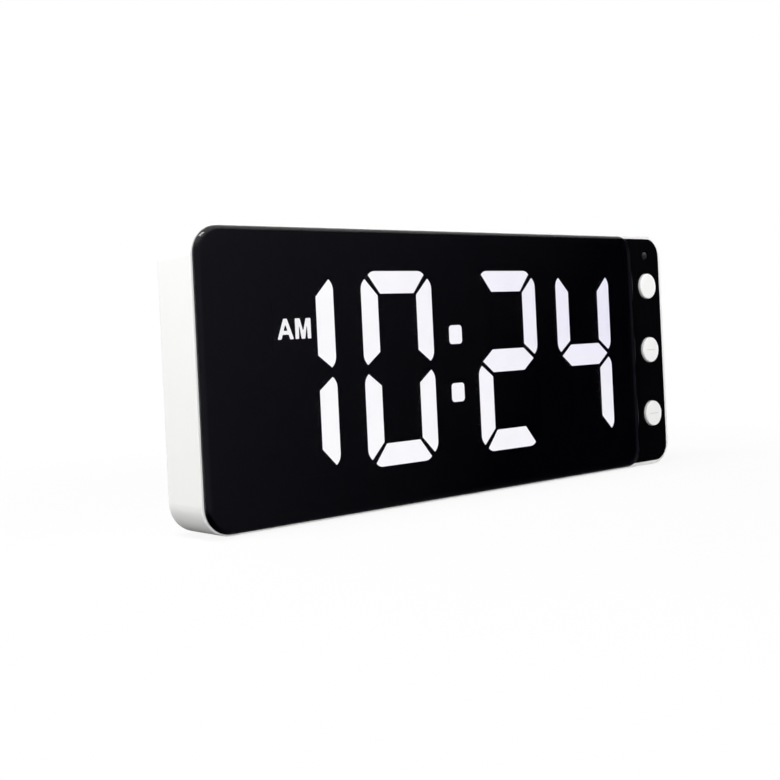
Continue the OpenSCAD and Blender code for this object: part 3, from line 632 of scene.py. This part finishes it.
def rounded_corners(points, radius, steps=4):
    """The outline with every corner rounded, less where its sides are short."""
    made = []
    for before, here, after in zip(points[-1:] + points[:-1], points, points[1:] + points[:1]):
        here_v = Vector(here)
        to_before, to_after = Vector(before) - here_v, Vector(after) - here_v
        half = to_before.angle(to_after) / 2
        cut = min(radius / math.tan(half), 0.45 * to_before.length, 0.45 * to_after.length)
        start = here_v + to_before.normalized() * cut
        end = here_v + to_after.normalized() * cut
        for i in range(steps + 1):
            t = i / steps
            point = start * (1 - t) ** 2 + here_v * (2 * t * (1 - t)) + end * t**2
            made.append((point.x, point.y))
    return made


def rounded_box(x, z, width, height, radius, steps=6):
    """Rounded rectangle about (x, z)."""
    half_w, half_h = width / 2 - radius, height / 2 - radius
    points = []
    for quarter, (side_x, side_z) in enumerate(((1, 1), (-1, 1), (-1, -1), (1, -1))):
        start = quarter * QUARTER
        points += arc(x + side_x * half_w, z + side_z * half_h, radius, start, start + QUARTER, steps)
    return points


def upright_outline(half_w, half_h, width):
    """Upper right stroke about the digit's centre: a long plate with a rounded tip at each end."""
    radius = UPRIGHT_END_RADIUS
    turn = math.acos(1 - UPRIGHT_TAPER / radius)
    rise = radius * math.sin(turn)
    inner = half_w - width
    return [
        (inner, UPRIGHT_INNER_FOOT),
        *arc(half_w - radius, UPRIGHT_FOOT + rise, radius, -turn, 0.0),
        *arc(half_w - radius, half_h - UPRIGHT_HEAD_DROP - rise, radius, 0.0, turn),
        (inner, half_h - UPRIGHT_INNER_DROP),
    ]


def flat_outline(half_w, half_h, width):
    """Top stroke about the digit's centre."""
    radius = FLAT_END_RADIUS
    turn = math.acos(1 - FLAT_TAPER / radius)
    x, z = half_w - FLAT_TIP_IN - radius * math.sin(turn), half_h - radius
    shoulder = half_w - FLAT_SHOULDER_IN
    return [
        (-shoulder, half_h - width),
        (shoulder, half_h - width),
        *arc(x, z, radius, QUARTER - turn, QUARTER),
        *arc(-x, z, radius, QUARTER, QUARTER + turn),
    ]


def middle_outline(half_w, width):
    """Middle stroke about the digit's centre, a long hexagon."""
    tip, shoulder, rise = half_w - MIDDLE_TIP_IN, half_w - MIDDLE_SHOULDER_IN, width / 2
    return [
        (-tip, 0),
        (-shoulder, -rise),
        (shoulder, -rise),
        (tip, 0),
        (shoulder, rise),
        (-shoulder, rise),
    ]


def stroke_outline(letter, half_w, half_h, sizes):
    """The stroke with this letter about the digit's centre."""
    if letter == "g":
        return middle_outline(half_w, sizes.middle)
    if letter in "ad":
        mirror = 1 if letter == "a" else -1
        return moved(flat_outline(half_w, half_h, sizes.flat), 0, 0, 1, mirror)
    side = 1 if letter in "bc" else -1
    level = 1 if letter in "bf" else -1
    return moved(upright_outline(half_w, half_h, sizes.upright), 0, 0, side, level)


def sized(height, *loops):
    """A letter's loops at this height."""
    unit = height / LETTER_UNITS
    return [[(x * unit, z * unit) for x, z in loop] for loop in loops]


def letter_a(height):
    """Bold A about its middle, standing on z = 0: its outline and the hole in it."""
    foot = [(-2.48, 0), (-1.32, 0), (-0.94, 1.17), (0.94, 1.17), (1.32, 0), (2.48, 0)]
    outer = [*foot, (0.54, LETTER_UNITS), (-0.54, LETTER_UNITS)]
    return sized(height, outer, [(-0.6, 2.1), (0, 3.85), (0.6, 2.1)])


def letter_m(height):
    """Bold M about its middle, standing on z = 0."""
    top = LETTER_UNITS
    half = [(0.55, 0), (1.24, 4.0), (1.38, 0), (2.42, 0), (2.42, top), (0.94, top)]
    return sized(height, [*half, (0, 1.75), *[(-x, z) for x, z in half[::-1]]])


def letter_p(height):
    """Bold P about its middle, standing on z = 0: its outline and the hole in it."""
    bowl = arc(0.5, 3.52, 1.58, -QUARTER, QUARTER, 8)
    outer = [(-2.1, 0), (-0.9, 0), (-0.9, 1.94), *bowl, (-2.1, LETTER_UNITS)]
    inner = arc(0.45, 3.52, 0.56, QUARTER, -QUARTER, 8)
    return sized(height, outer, [(-0.9, 4.08), *inner, (-0.9, 2.96)])


# Meshes


def shown(name, mesh, finish, body, slot):
    """Puts a mesh in the scene as a piece of the clock."""
    mesh.materials.append(finish)
    piece = bpy.data.objects.new(name, mesh)
    bpy.context.scene.collection.objects.link(piece)
    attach(piece, body)
    return piece


def plate_mesh(name, loops, front, back):
    """Closed flat plate between two depths. A loop inside another one is a hole."""
    curve = bpy.data.curves.new(name, "CURVE")
    curve.dimensions = "2D"
    curve.fill_mode = "BOTH"
    curve.extrude = (back - front) / 2
    for loop in loops:
        spline = curve.splines.new("POLY")
        spline.points.add(len(loop) - 1)
        for point, (x, z) in zip(spline.points, loop):
            point.co = (x, z, 0.0, 1.0)
        spline.use_cyclic_u = True
    holder = bpy.data.objects.new(name, curve)
    bpy.context.scene.collection.objects.link(holder)
    ready = holder.evaluated_get(bpy.context.evaluated_depsgraph_get())
    mesh = bpy.data.meshes.new_from_object(ready)
    bpy.data.objects.remove(holder)
    bpy.data.curves.remove(curve)
    mesh.name = name
    stand_up = Matrix.Translation((0, (front + back) / 2, 0)) @ Matrix.Rotation(QUARTER, 4, "X")
    mesh.transform(stand_up)
    work = bmesh.new()
    work.from_mesh(mesh)
    bmesh.ops.remove_doubles(work, verts=work.verts, dist=WELD_DISTANCE)
    bmesh.ops.recalc_face_normals(work, faces=work.faces)
    work.to_mesh(mesh)
    work.free()
    return mesh


def ringed_mesh(name, rings):
    """Closed mesh through rings of equal length, with a face across the first and the last."""
    work = bmesh.new()
    rows = [[work.verts.new(point) for point in ring] for ring in rings]
    for first, second in zip(rows, rows[1:]):
        for i in range(len(first)):
            j = (i + 1) % len(first)
            work.faces.new((first[i], first[j], second[j], second[i]))
    work.faces.new(rows[0][::-1])
    work.faces.new(rows[-1])
    bmesh.ops.recalc_face_normals(work, faces=work.faces)
    for face in work.faces:
        face.smooth = True
    mesh = bpy.data.meshes.new(name)
    work.to_mesh(mesh)
    work.free()
    mesh.set_sharp_from_angle(angle=SHARP_ANGLE)
    return mesh


def keep_flat_faces_flat(piece):
    """Lets the large faces set the shading, so that only the round edges look round."""
    weighted = piece.modifiers.new("weighted_normals", "WEIGHTED_NORMAL")
    weighted.keep_sharp = True
    weighted.weight = 100


def digit_places(sizes):
    """x of the four digits from the left, the colon's x, and half a digit's width and height."""
    row = LENS_HIGH.x - LENS_LOW.x - sizes.left_band - sizes.right_band
    middle = LENS_LOW.x + sizes.left_band + row / 2
    half_w = row * sizes.digit_share / 2
    half_h = (LENS_HIGH.z - LENS_LOW.z) / 2 - sizes.high_band
    pitch = row * sizes.pitch_share
    near = row / 2 - pitch - half_w
    places = [middle - near - pitch, middle - near, middle + near, middle + near + pitch]
    return places, middle, half_w, half_h


def set_finish(finish, *names):
    """Gives these CAD nodes a finish in every one of their material slots."""
    for name in names:
        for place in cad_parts[name].material_slots:
            place.material = finish


# Operators


class CLOCK_OT_case(bpy.types.Operator):
    """Finish the white case, the leg and the twist cover behind it"""

    bl_idname = "clock.case"
    bl_label = "White case"

    def execute(self, context):
        colours = context.scene.clock_colours
        set_finish(case_finish(colours), "rear_shell", "stand_leg", "battery_cover")
        return {"FINISHED"}


class CLOCK_OT_front(bpy.types.Operator):
    """Finish the black plate and the film behind the lens"""

    bl_idname = "clock.front"
    bl_label = "Black front"

    def execute(self, context):
        colours = context.scene.clock_colours
        plate = moulded(
            "gloss_black_plate",
            tuple(colours.black),
            gloss=0.14,
            grain_size=0.5 * MM,
            grain_depth=0.0006 * MM,
            tone=0.2,
            wear=0.03,
            **{"Specular IOR Level": 0.14},
        )
        film = printed_black("printed_black_film", colours)
        tape = moulded(
            "grey_foam_tape",
            (0.22, 0.22, 0.23),
            gloss=0.8,
            grain_size=0.15 * MM,
            grain_depth=0.02 * MM,
            tone=0.08,
        )
        set_finish(plate, "front_plate")
        set_finish(film, "display_mask")
        set_finish(tape, "lens_adhesive")
        return {"FINISHED"}


class CLOCK_OT_inside(bpy.types.Operator):
    """Finish the light box, the board and the parts on it"""

    bl_idname = "clock.inside"
    bl_label = "Inner parts"

    def execute(self, context):
        colours = context.scene.clock_colours
        sheet = moulded(
            "milky_diffuser",
            (0.86, 0.86, 0.88),
            gloss=0.5,
            grain_size=0.3 * MM,
            grain_depth=0.004 * MM,
            **{"Subsurface Weight": 0.2, "Subsurface Scale": 0.5 * MM},
        )
        black_body = moulded(
            "black_chip_epoxy",
            (0.012, 0.012, 0.013),
            gloss=0.55,
            grain_size=0.12 * MM,
            grain_depth=0.006 * MM,
            tone=0.2,
        )
        ceramic = moulded(
            "tan_ceramic",
            (0.42, 0.25, 0.08),
            gloss=0.4,
            grain_size=0.2 * MM,
            grain_depth=0.004 * MM,
            tone=0.1,
        )
        reflector = moulded(
            "white_reflector",
            (0.9, 0.9, 0.9),
            gloss=0.25,
            grain_size=0.4 * MM,
            grain_depth=0.003 * MM,
            tone=0.01,
        )
        nylon = moulded(
            "plunger_nylon",
            (0.02, 0.02, 0.022),
            gloss=0.45,
            grain_size=0.2 * MM,
            grain_depth=0.003 * MM,
        )
        set_finish(sheet, "diffuser_sheet")
        set_finish(reflector, "light_box")
        set_finish(chip_finish(), "led_chips")
        set_finish(board_finish(colours), "main_board")
        set_finish(black_body, "display_driver", "clock_chip", "resistors", "sounder", "tact_switches")
        set_finish(ceramic, "capacitors")
        set_finish(drawn_metal("tinned_can", (0.72, 0.73, 0.74), 0.25, "x"), "crystal")
        set_finish(drawn_metal("nickel_cell", (0.74, 0.73, 0.7), 0.28, "z"), "coin_cell")
        set_finish(drawn_metal("brass_contact", (0.72, 0.5, 0.2), 0.3, "z"), "cell_contacts")
        set_finish(drawn_metal("zinc_screw", (0.6, 0.61, 0.62), 0.33, "y"), "board_screws")
        set_finish(nylon, "set_plunger", "up_plunger", "down_plunger")
        return {"FINISHED"}


class CLOCK_OT_fittings(bpy.types.Operator):
    """Finish the power socket, the leg's pin and tips, the foot pads and the case screws"""

    bl_idname = "clock.fittings"
    bl_label = "Socket, pin, pads and screws"

    def execute(self, context):
        colours = context.scene.clock_colours
        rubber = moulded(
            "soft_rubber",
            tuple(colours.rubber),
            gloss=0.72,
            grain_size=0.25 * MM,
            grain_depth=0.02 * MM,
            tone=0.15,
            wear=0.08,
        )
        set_finish(rubber, "foot_pads", "stand_tips")
        set_finish(drawn_metal("plated_socket", (0.7, 0.71, 0.73), 0.24, "x"), "usb_socket")
        set_finish(drawn_metal("steel_pin", (0.56, 0.57, 0.58), 0.3, "x"), "stand_pin")
        set_finish(drawn_metal("blackened_screw", (0.3, 0.3, 0.31), 0.35, "y"), "case_screws")
        return {"FINISHED"}


class CLOCK_OT_lens(bpy.types.Operator):
    """Make the clear lens with its round front edge"""

    bl_idname = "clock.lens"
    bl_label = "Front lens"

    def execute(self, context):
        sizes = context.scene.clock_lens
        back = LENS_HIGH.y - sizes.film_gap
        steps, corner_steps = 8, 14

        def ring(inset, depth):
            corners = (
                (LENS_HIGH.x, LENS_HIGH.z, sizes.right_radius, 1, 1),
                (LENS_LOW.x, LENS_HIGH.z, sizes.left_radius, -1, 1),
                (LENS_LOW.x, LENS_LOW.z, sizes.left_radius, -1, -1),
                (LENS_HIGH.x, LENS_LOW.z, sizes.right_radius, 1, -1),
            )
            points = []
            for quarter, (x, z, radius, side_x, side_z) in enumerate(corners):
                start = quarter * QUARTER
                points += arc(
                    x - side_x * radius,
                    z - side_z * radius,
                    radius - inset,
                    start,
                    start + QUARTER,
                    corner_steps,
                )
            return [(x, depth, z) for x, z in points]

        rings = [ring(sizes.border, back), ring(0.0, back)]
        for i in range(steps + 1):
            turn = i / steps * QUARTER
            rings.append(
                ring(
                    sizes.edge_radius * (1 - math.cos(turn)),
                    LENS_LOW.y + sizes.edge_radius * (1 - math.sin(turn)),
                )
            )
        lens = shown("clear_lens", ringed_mesh("clear_lens", rings), lens_finish(), "case", "lens_acrylic")
        lens.data.materials.append(printed_black("black_edge_print", context.scene.clock_colours))
        printed_faces = 2 * len(rings[0])
        for face in lens.data.polygons[:printed_faces]:
            face.material_index = 1
        keep_flat_faces_flat(lens)
        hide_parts("display_lens")
        return {"FINISHED"}


class CLOCK_OT_display(bpy.types.Operator):
    """Make the lit and unlit strokes of the four digits and the colon's dots"""

    bl_idname = "clock.display"
    bl_label = "Digits and colon"

    def execute(self, context):
        sizes, colours = context.scene.clock_display, context.scene.clock_colours
        if len(sizes.shown) != 4 or not sizes.shown.isdigit():
            raise ValueError("the time is four digits, such as 1024")
        lit = lit_finish("lit_stroke", colours, STROKE_LIGHT)
        # Unlit strokes get a pane painted black: painted shade of their dark cells
        dark = painted_shade_pane_finish(colours)
        places, colon_x, half_w, half_h = digit_places(sizes)
        for count, (x, digit) in enumerate(zip(places, sizes.shown), start=1):
            for letters, finish, word in (
                (STROKES_OF[digit], lit, "lit"),
                ([s for s in "abcdefg" if s not in STROKES_OF[digit]], dark, "unlit"),
            ):
                loops = [
                    moved(grown(stroke_outline(s, half_w, half_h, sizes), sizes.overlap), x, MIDDLE_Z)
                    for s in letters
                ]
                if loops:
                    name = f"digit_{count}_{word}"
                    mesh = plate_mesh(name, loops, PANE_FRONT, PANE_BACK)
                    shown(name, mesh, finish, "case", "diffuser_white")
        dots = [
            rounded_box(
                colon_x,
                MIDDLE_Z + side * sizes.dot_pitch / 2,
                sizes.dot_width + 2 * sizes.overlap,
                sizes.dot_height + 2 * sizes.overlap,
                sizes.dot_radius,
            )
            for side in (1, -1)
        ]
        mesh = plate_mesh("colon_lit", dots, PANE_FRONT, PANE_BACK)
        shown("colon_lit", mesh, lit, "case", "diffuser_white")
        return {"FINISHED"}


class CLOCK_OT_signs(bpy.types.Operator):
    """Make the two half-day windows, with the lit letters in one of them"""

    bl_idname = "clock.signs"
    bl_label = "Half-day signs"

    def execute(self, context):
        sizes, colours = context.scene.clock_display, context.scene.clock_colours
        x = digit_places(sizes)[0][0]
        # The half-day windows get the same black pane as painted shade; the lit letters lie in front of one
        pane, lit = painted_shade_pane_finish(colours), lit_finish("lit_letters", colours, LETTER_LIGHT)
        for name, side in (("am_window", 1), ("pm_window", -1)):
            window = rounded_box(
                x,
                MIDDLE_Z + side * sizes.sign_rise,
                sizes.sign_width + 2 * sizes.overlap,
                sizes.sign_height + 2 * sizes.overlap,
                WINDOW_RADIUS,
                steps=2,
            )
            mesh = plate_mesh(name, [window], PANE_FRONT, PANE_BACK)
            shown(name, mesh, pane, "case", "diffuser_white")
        side, first = (-1, letter_p) if sizes.afternoon else (1, letter_a)
        foot = MIDDLE_Z + side * sizes.sign_rise - sizes.letter_height / 2 + sizes.letter_up
        middle, spread = x - sizes.letter_left, LETTER_STEP_SHARE * sizes.letter_height
        loops = [
            moved(rounded_corners(loop, sizes.letter_round), middle + step, foot)
            for letter, step in ((first, -spread), (letter_m, spread))
            for loop in letter(sizes.letter_height)
        ]
        mesh = plate_mesh("half_day_letters", loops, PANE_FRONT - LETTER_DEPTH, PANE_FRONT)
        shown("half_day_letters", mesh, lit, "case", "diffuser_white")
        return {"FINISHED"}


class CLOCK_OT_caps(bpy.types.Operator):
    """Finish the three push caps and put the marks on the stepping ones"""

    bl_idname = "clock.caps"
    bl_label = "Push caps"

    def execute(self, context):
        sizes, colours = context.scene.clock_cap_sizes, context.scene.clock_colours
        white = moulded(
            "white_cap_moulding",
            tuple(colours.caps),
            gloss=0.3,
            grain_size=0.3 * MM,
            grain_depth=0.0015 * MM,
            tone=0.006,
            wear=0.02,
            **{"Specular IOR Level": 0.35},
        )
        set_finish(white, "set_cap", "up_cap", "down_cap")
        # Grey lines standing a hair out of the stepping caps: their grey is painted shade of engraved lines
        mark_shade = moulded(
            "grey_cap_mark_painted_shade",
            tuple(colours.mark),
            gloss=0.5,
            grain_size=0.1 * MM,
            grain_depth=0.002 * MM,
        )
        for name, node, body, reach in (
            ("up_mark", "up_cap", "up_button", sizes.up_mark),
            ("down_mark", "down_cap", "down_button", sizes.down_mark),
        ):
            low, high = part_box(node)
            x, z, face = (low.x + high.x) / 2, (low.z + high.z) / 2, low.y
            end_radius = sizes.mark_width / 2 - 0.001 * MM
            line = rounded_box(x, z, reach, sizes.mark_width, end_radius, steps=4)
            mesh = plate_mesh(name, [line], face - sizes.mark_height, face + sizes.mark_height)
            shown(name, mesh, mark_shade, body, "cap_white")
        return {"FINISHED"}


class CLOCK_OT_sensor(bpy.types.Operator):
    """Finish the light sensor's smoked dome"""

    bl_idname = "clock.sensor"
    bl_label = "Light sensor"

    def execute(self, context):
        dome = moulded(
            "smoked_sensor_dome",
            (0.02, 0.02, 0.023),
            gloss=0.06,
            grain_size=0.4 * MM,
            grain_depth=0.001 * MM,
            tone=0.2,
            wear=0.03,
        )
        set_finish(dome, "light_sensor")
        return {"FINISHED"}


class CLOCK_OT_studio(bpy.types.Operator):
    """Make the floor, the white surround, the lamp and the camera"""

    bl_idname = "clock.studio"
    bl_label = "Studio and camera"

    def execute(self, context):
        sizes = context.scene.clock_studio
        make_floor(sizes)
        make_surround(context.scene, sizes)
        make_lamp(sizes)
        make_camera(context.scene, sizes)
        context.scene.view_settings.view_transform = "Standard"
        return {"FINISHED"}


def make_floor(sizes):
    """Round pale floor under the clock, which fades to the white surround and keeps the soft shadow."""
    radius = sizes.floor_radius
    turns = [2 * math.pi * i / FLOOR_SIDES for i in range(FLOOR_SIDES)]
    work = bmesh.new()
    work.faces.new(
        [work.verts.new((radius * math.cos(t), radius * math.sin(t), -FLOOR_DROP)) for t in turns]
    )
    mesh = bpy.data.meshes.new("floor")
    work.to_mesh(mesh)
    work.free()
    material, tree, place = new_finish("pale_floor")
    distance = add(tree, "ShaderNodeVectorMath", {0: place}, operation="LENGTH").outputs["Value"]
    fade = ramp(tree, distance, sizes.fade_start, sizes.fade_end, FLOOR_NEAR_WHITE, 1.0, smooth=True)
    path = add(tree, "ShaderNodeLightPath").outputs
    seen = path["Is Camera Ray"]
    for other in ("Is Glossy Ray", "Is Transmission Ray"):
        seen = join(tree, "MAXIMUM", seen, path[other])
    whiteness = join(tree, "MULTIPLY", fade, seen)
    mottle = blend(tree, noise(tree, place, FLOOR_MOTTLE), FLOOR_DARK, FLOOR_LIGHT)
    matt = add(tree, "ShaderNodeBsdfDiffuse", {"Color": blend(tree, seen, mottle, FLOOR_SEEN)})
    white = add(tree, "ShaderNodeEmission", {"Strength": 1.0})
    whole = add(tree, "ShaderNodeMixShader", {0: whiteness, 1: matt.outputs[0], 2: white.outputs[0]})
    close(tree, whole)
    mesh.materials.append(material)
    floor = bpy.data.objects.new("floor", mesh)
    bpy.context.scene.collection.objects.link(floor)
    floor.visible_glossy = False
    floor.visible_transmission = False


def make_surround(scene, sizes):
    """White surround: a soft tent of light, with a dark card in front that the lens and caps mirror."""
    world = bpy.data.worlds.new("white_surround")
    world.use_nodes = True
    tree = world.node_tree
    tree.nodes.clear()
    direction = add(tree, "ShaderNodeTexCoord").outputs["Generated"]
    axes = separate(tree, direction)
    behind = ramp(tree, axes["Y"], *BEHIND_BAND, 0.0, 1.0, smooth=True)
    level_share = ramp(tree, axes["Z"], *LEVEL_BAND, 0.0, 1.0, smooth=True)
    above = ramp(tree, axes["Z"], *ABOVE_BAND, 0.0, 1.0, smooth=True)
    open_share = join(tree, "MAXIMUM", join(tree, "MULTIPLY", behind, level_share), above)
    lighter = ramp(tree, share_along(tree, direction, CARD_AXIS), *CARD_BAND, 0.0, 1.0)
    card = blend(tree, join(tree, "MULTIPLY", lighter, level_share), sizes.card_right, sizes.card_left)
    mirrored = blend(tree, open_share, card, (1.0, 1.0, 1.0))
    path = add(tree, "ShaderNodeLightPath").outputs
    through = join(tree, "MAXIMUM", path["Is Glossy Ray"], path["Is Transmission Ray"])
    high_fill = sizes.round_fill + sizes.front_fill
    from_front = ramp(
        tree, share_along(tree, direction, FRONT_AXIS), *FRONT_BAND, sizes.round_fill, high_fill, smooth=True
    )
    from_left = ramp(tree, axes["X"], *LEFT_BAND, sizes.left_fill, 0.0, smooth=True)
    low_down = ramp(tree, axes["Z"], *LOW_BAND, 1.0, 0.0, smooth=True)
    level = join(tree, "MULTIPLY_ADD", join(tree, "ADD", from_front, from_left), low_down, sizes.fill_level)
    white = (1.0, 1.0, 1.0, 1.0)
    fill = add(tree, "ShaderNodeBackground", {"Color": white, "Strength": level}).outputs[0]
    glossy = add(tree, "ShaderNodeBackground", {"Color": mirrored, "Strength": 1.0}).outputs[0]
    backdrop = add(tree, "ShaderNodeBackground", {"Color": white, "Strength": 1.0}).outputs[0]
    lower = add(tree, "ShaderNodeMixShader", {0: through, 1: fill, 2: glossy}).outputs[0]
    whole = add(tree, "ShaderNodeMixShader", {0: path["Is Camera Ray"], 1: lower, 2: backdrop})
    add(tree, "ShaderNodeOutputWorld", {"Surface": whole.outputs[0]})
    scene.world = world


def make_lamp(sizes):
    """High soft lamp at the left, which glints on the round edge of the lens."""
    lamp = bpy.data.lights.new("high_lamp", "AREA")
    lamp.shape = "RECTANGLE"
    lamp.size, lamp.size_y = LAMP_SIZE
    lamp.energy = sizes.lamp_power
    holder = bpy.data.objects.new("high_lamp", lamp)
    holder.location = LAMP_PLACE
    aim = Vector((0, 0, MIDDLE_Z)) - holder.location
    holder.rotation_euler = aim.to_track_quat("-Z", "Y").to_euler()
    holder.visible_camera = False
    bpy.context.scene.collection.objects.link(holder)


def make_camera(scene, sizes):
    """Camera at the left front, level with the clock."""
    camera = bpy.data.cameras.new("camera")
    camera.sensor_width = CAMERA_SENSOR
    camera.lens = sizes.focal_length
    camera.shift_x, camera.shift_y = sizes.shift_across, sizes.shift_up
    camera.clip_start = CAMERA_CLIP
    yaw, pitch, roll = sizes.camera_yaw, sizes.camera_pitch, sizes.camera_roll
    forward = Vector(
        (math.sin(yaw) * math.cos(pitch), math.cos(yaw) * math.cos(pitch), -math.sin(pitch))
    )
    right = Vector((math.cos(yaw), -math.sin(yaw), 0))
    up = right.cross(forward)
    side = right * math.cos(roll) + up * math.sin(roll)
    head = up * math.cos(roll) - right * math.sin(roll)
    turn = Matrix((side, head, -forward)).transposed().to_4x4()
    holder = bpy.data.objects.new("camera", camera)
    holder.matrix_world = Matrix.Translation(sizes.camera_place) @ turn
    scene.collection.objects.link(holder)
    scene.camera = holder


PIECES = (
    CLOCK_OT_case,
    CLOCK_OT_front,
    CLOCK_OT_inside,
    CLOCK_OT_fittings,
    CLOCK_OT_lens,
    CLOCK_OT_display,
    CLOCK_OT_signs,
    CLOCK_OT_caps,
    CLOCK_OT_sensor,
    CLOCK_OT_studio,
)

GROUPS = {
    "clock_lens": ClockLensSizes,
    "clock_display": ClockDisplaySizes,
    "clock_cap_sizes": ClockCapSizes,
    "clock_colours": ClockColours,
    "clock_studio": ClockStudioSizes,
}


class VIEW3D_PT_clock(bpy.types.Panel):
    """Lists the clock's sizes, colours and pieces"""

    bl_label = "Desk and wall clock"
    bl_idname = "VIEW3D_PT_clock"
    bl_space_type = "VIEW_3D"
    bl_region_type = "UI"
    bl_category = "Clock"

    def draw(self, context):
        for name, group in GROUPS.items():
            box = self.layout.box()
            for prop in group.__annotations__:
                box.prop(getattr(context.scene, name), prop)
        for piece in PIECES:
            self.layout.operator(piece.bl_idname)


def register():
    """Registers the classes and puts the sizes and colours on the scene."""
    for group in GROUPS.values():
        bpy.utils.register_class(group)
    for name, group in GROUPS.items():
        setattr(bpy.types.Scene, name, bpy.props.PointerProperty(type=group))
    for piece in (*PIECES, VIEW3D_PT_clock):
        bpy.utils.register_class(piece)


def unregister():
    """Takes the classes and the sizes and colours away again."""
    for piece in (VIEW3D_PT_clock, *reversed(PIECES)):
        bpy.utils.unregister_class(piece)
    for name in GROUPS:
        delattr(bpy.types.Scene, name)
    for group in GROUPS.values():
        bpy.utils.unregister_class(group)


def main():
    """Makes every piece in order."""
    register()
    for piece in PIECES:
        family, action = piece.bl_idname.split(".")
        getattr(getattr(bpy.ops, family), action)()


if __name__ == "__main__":
    main()
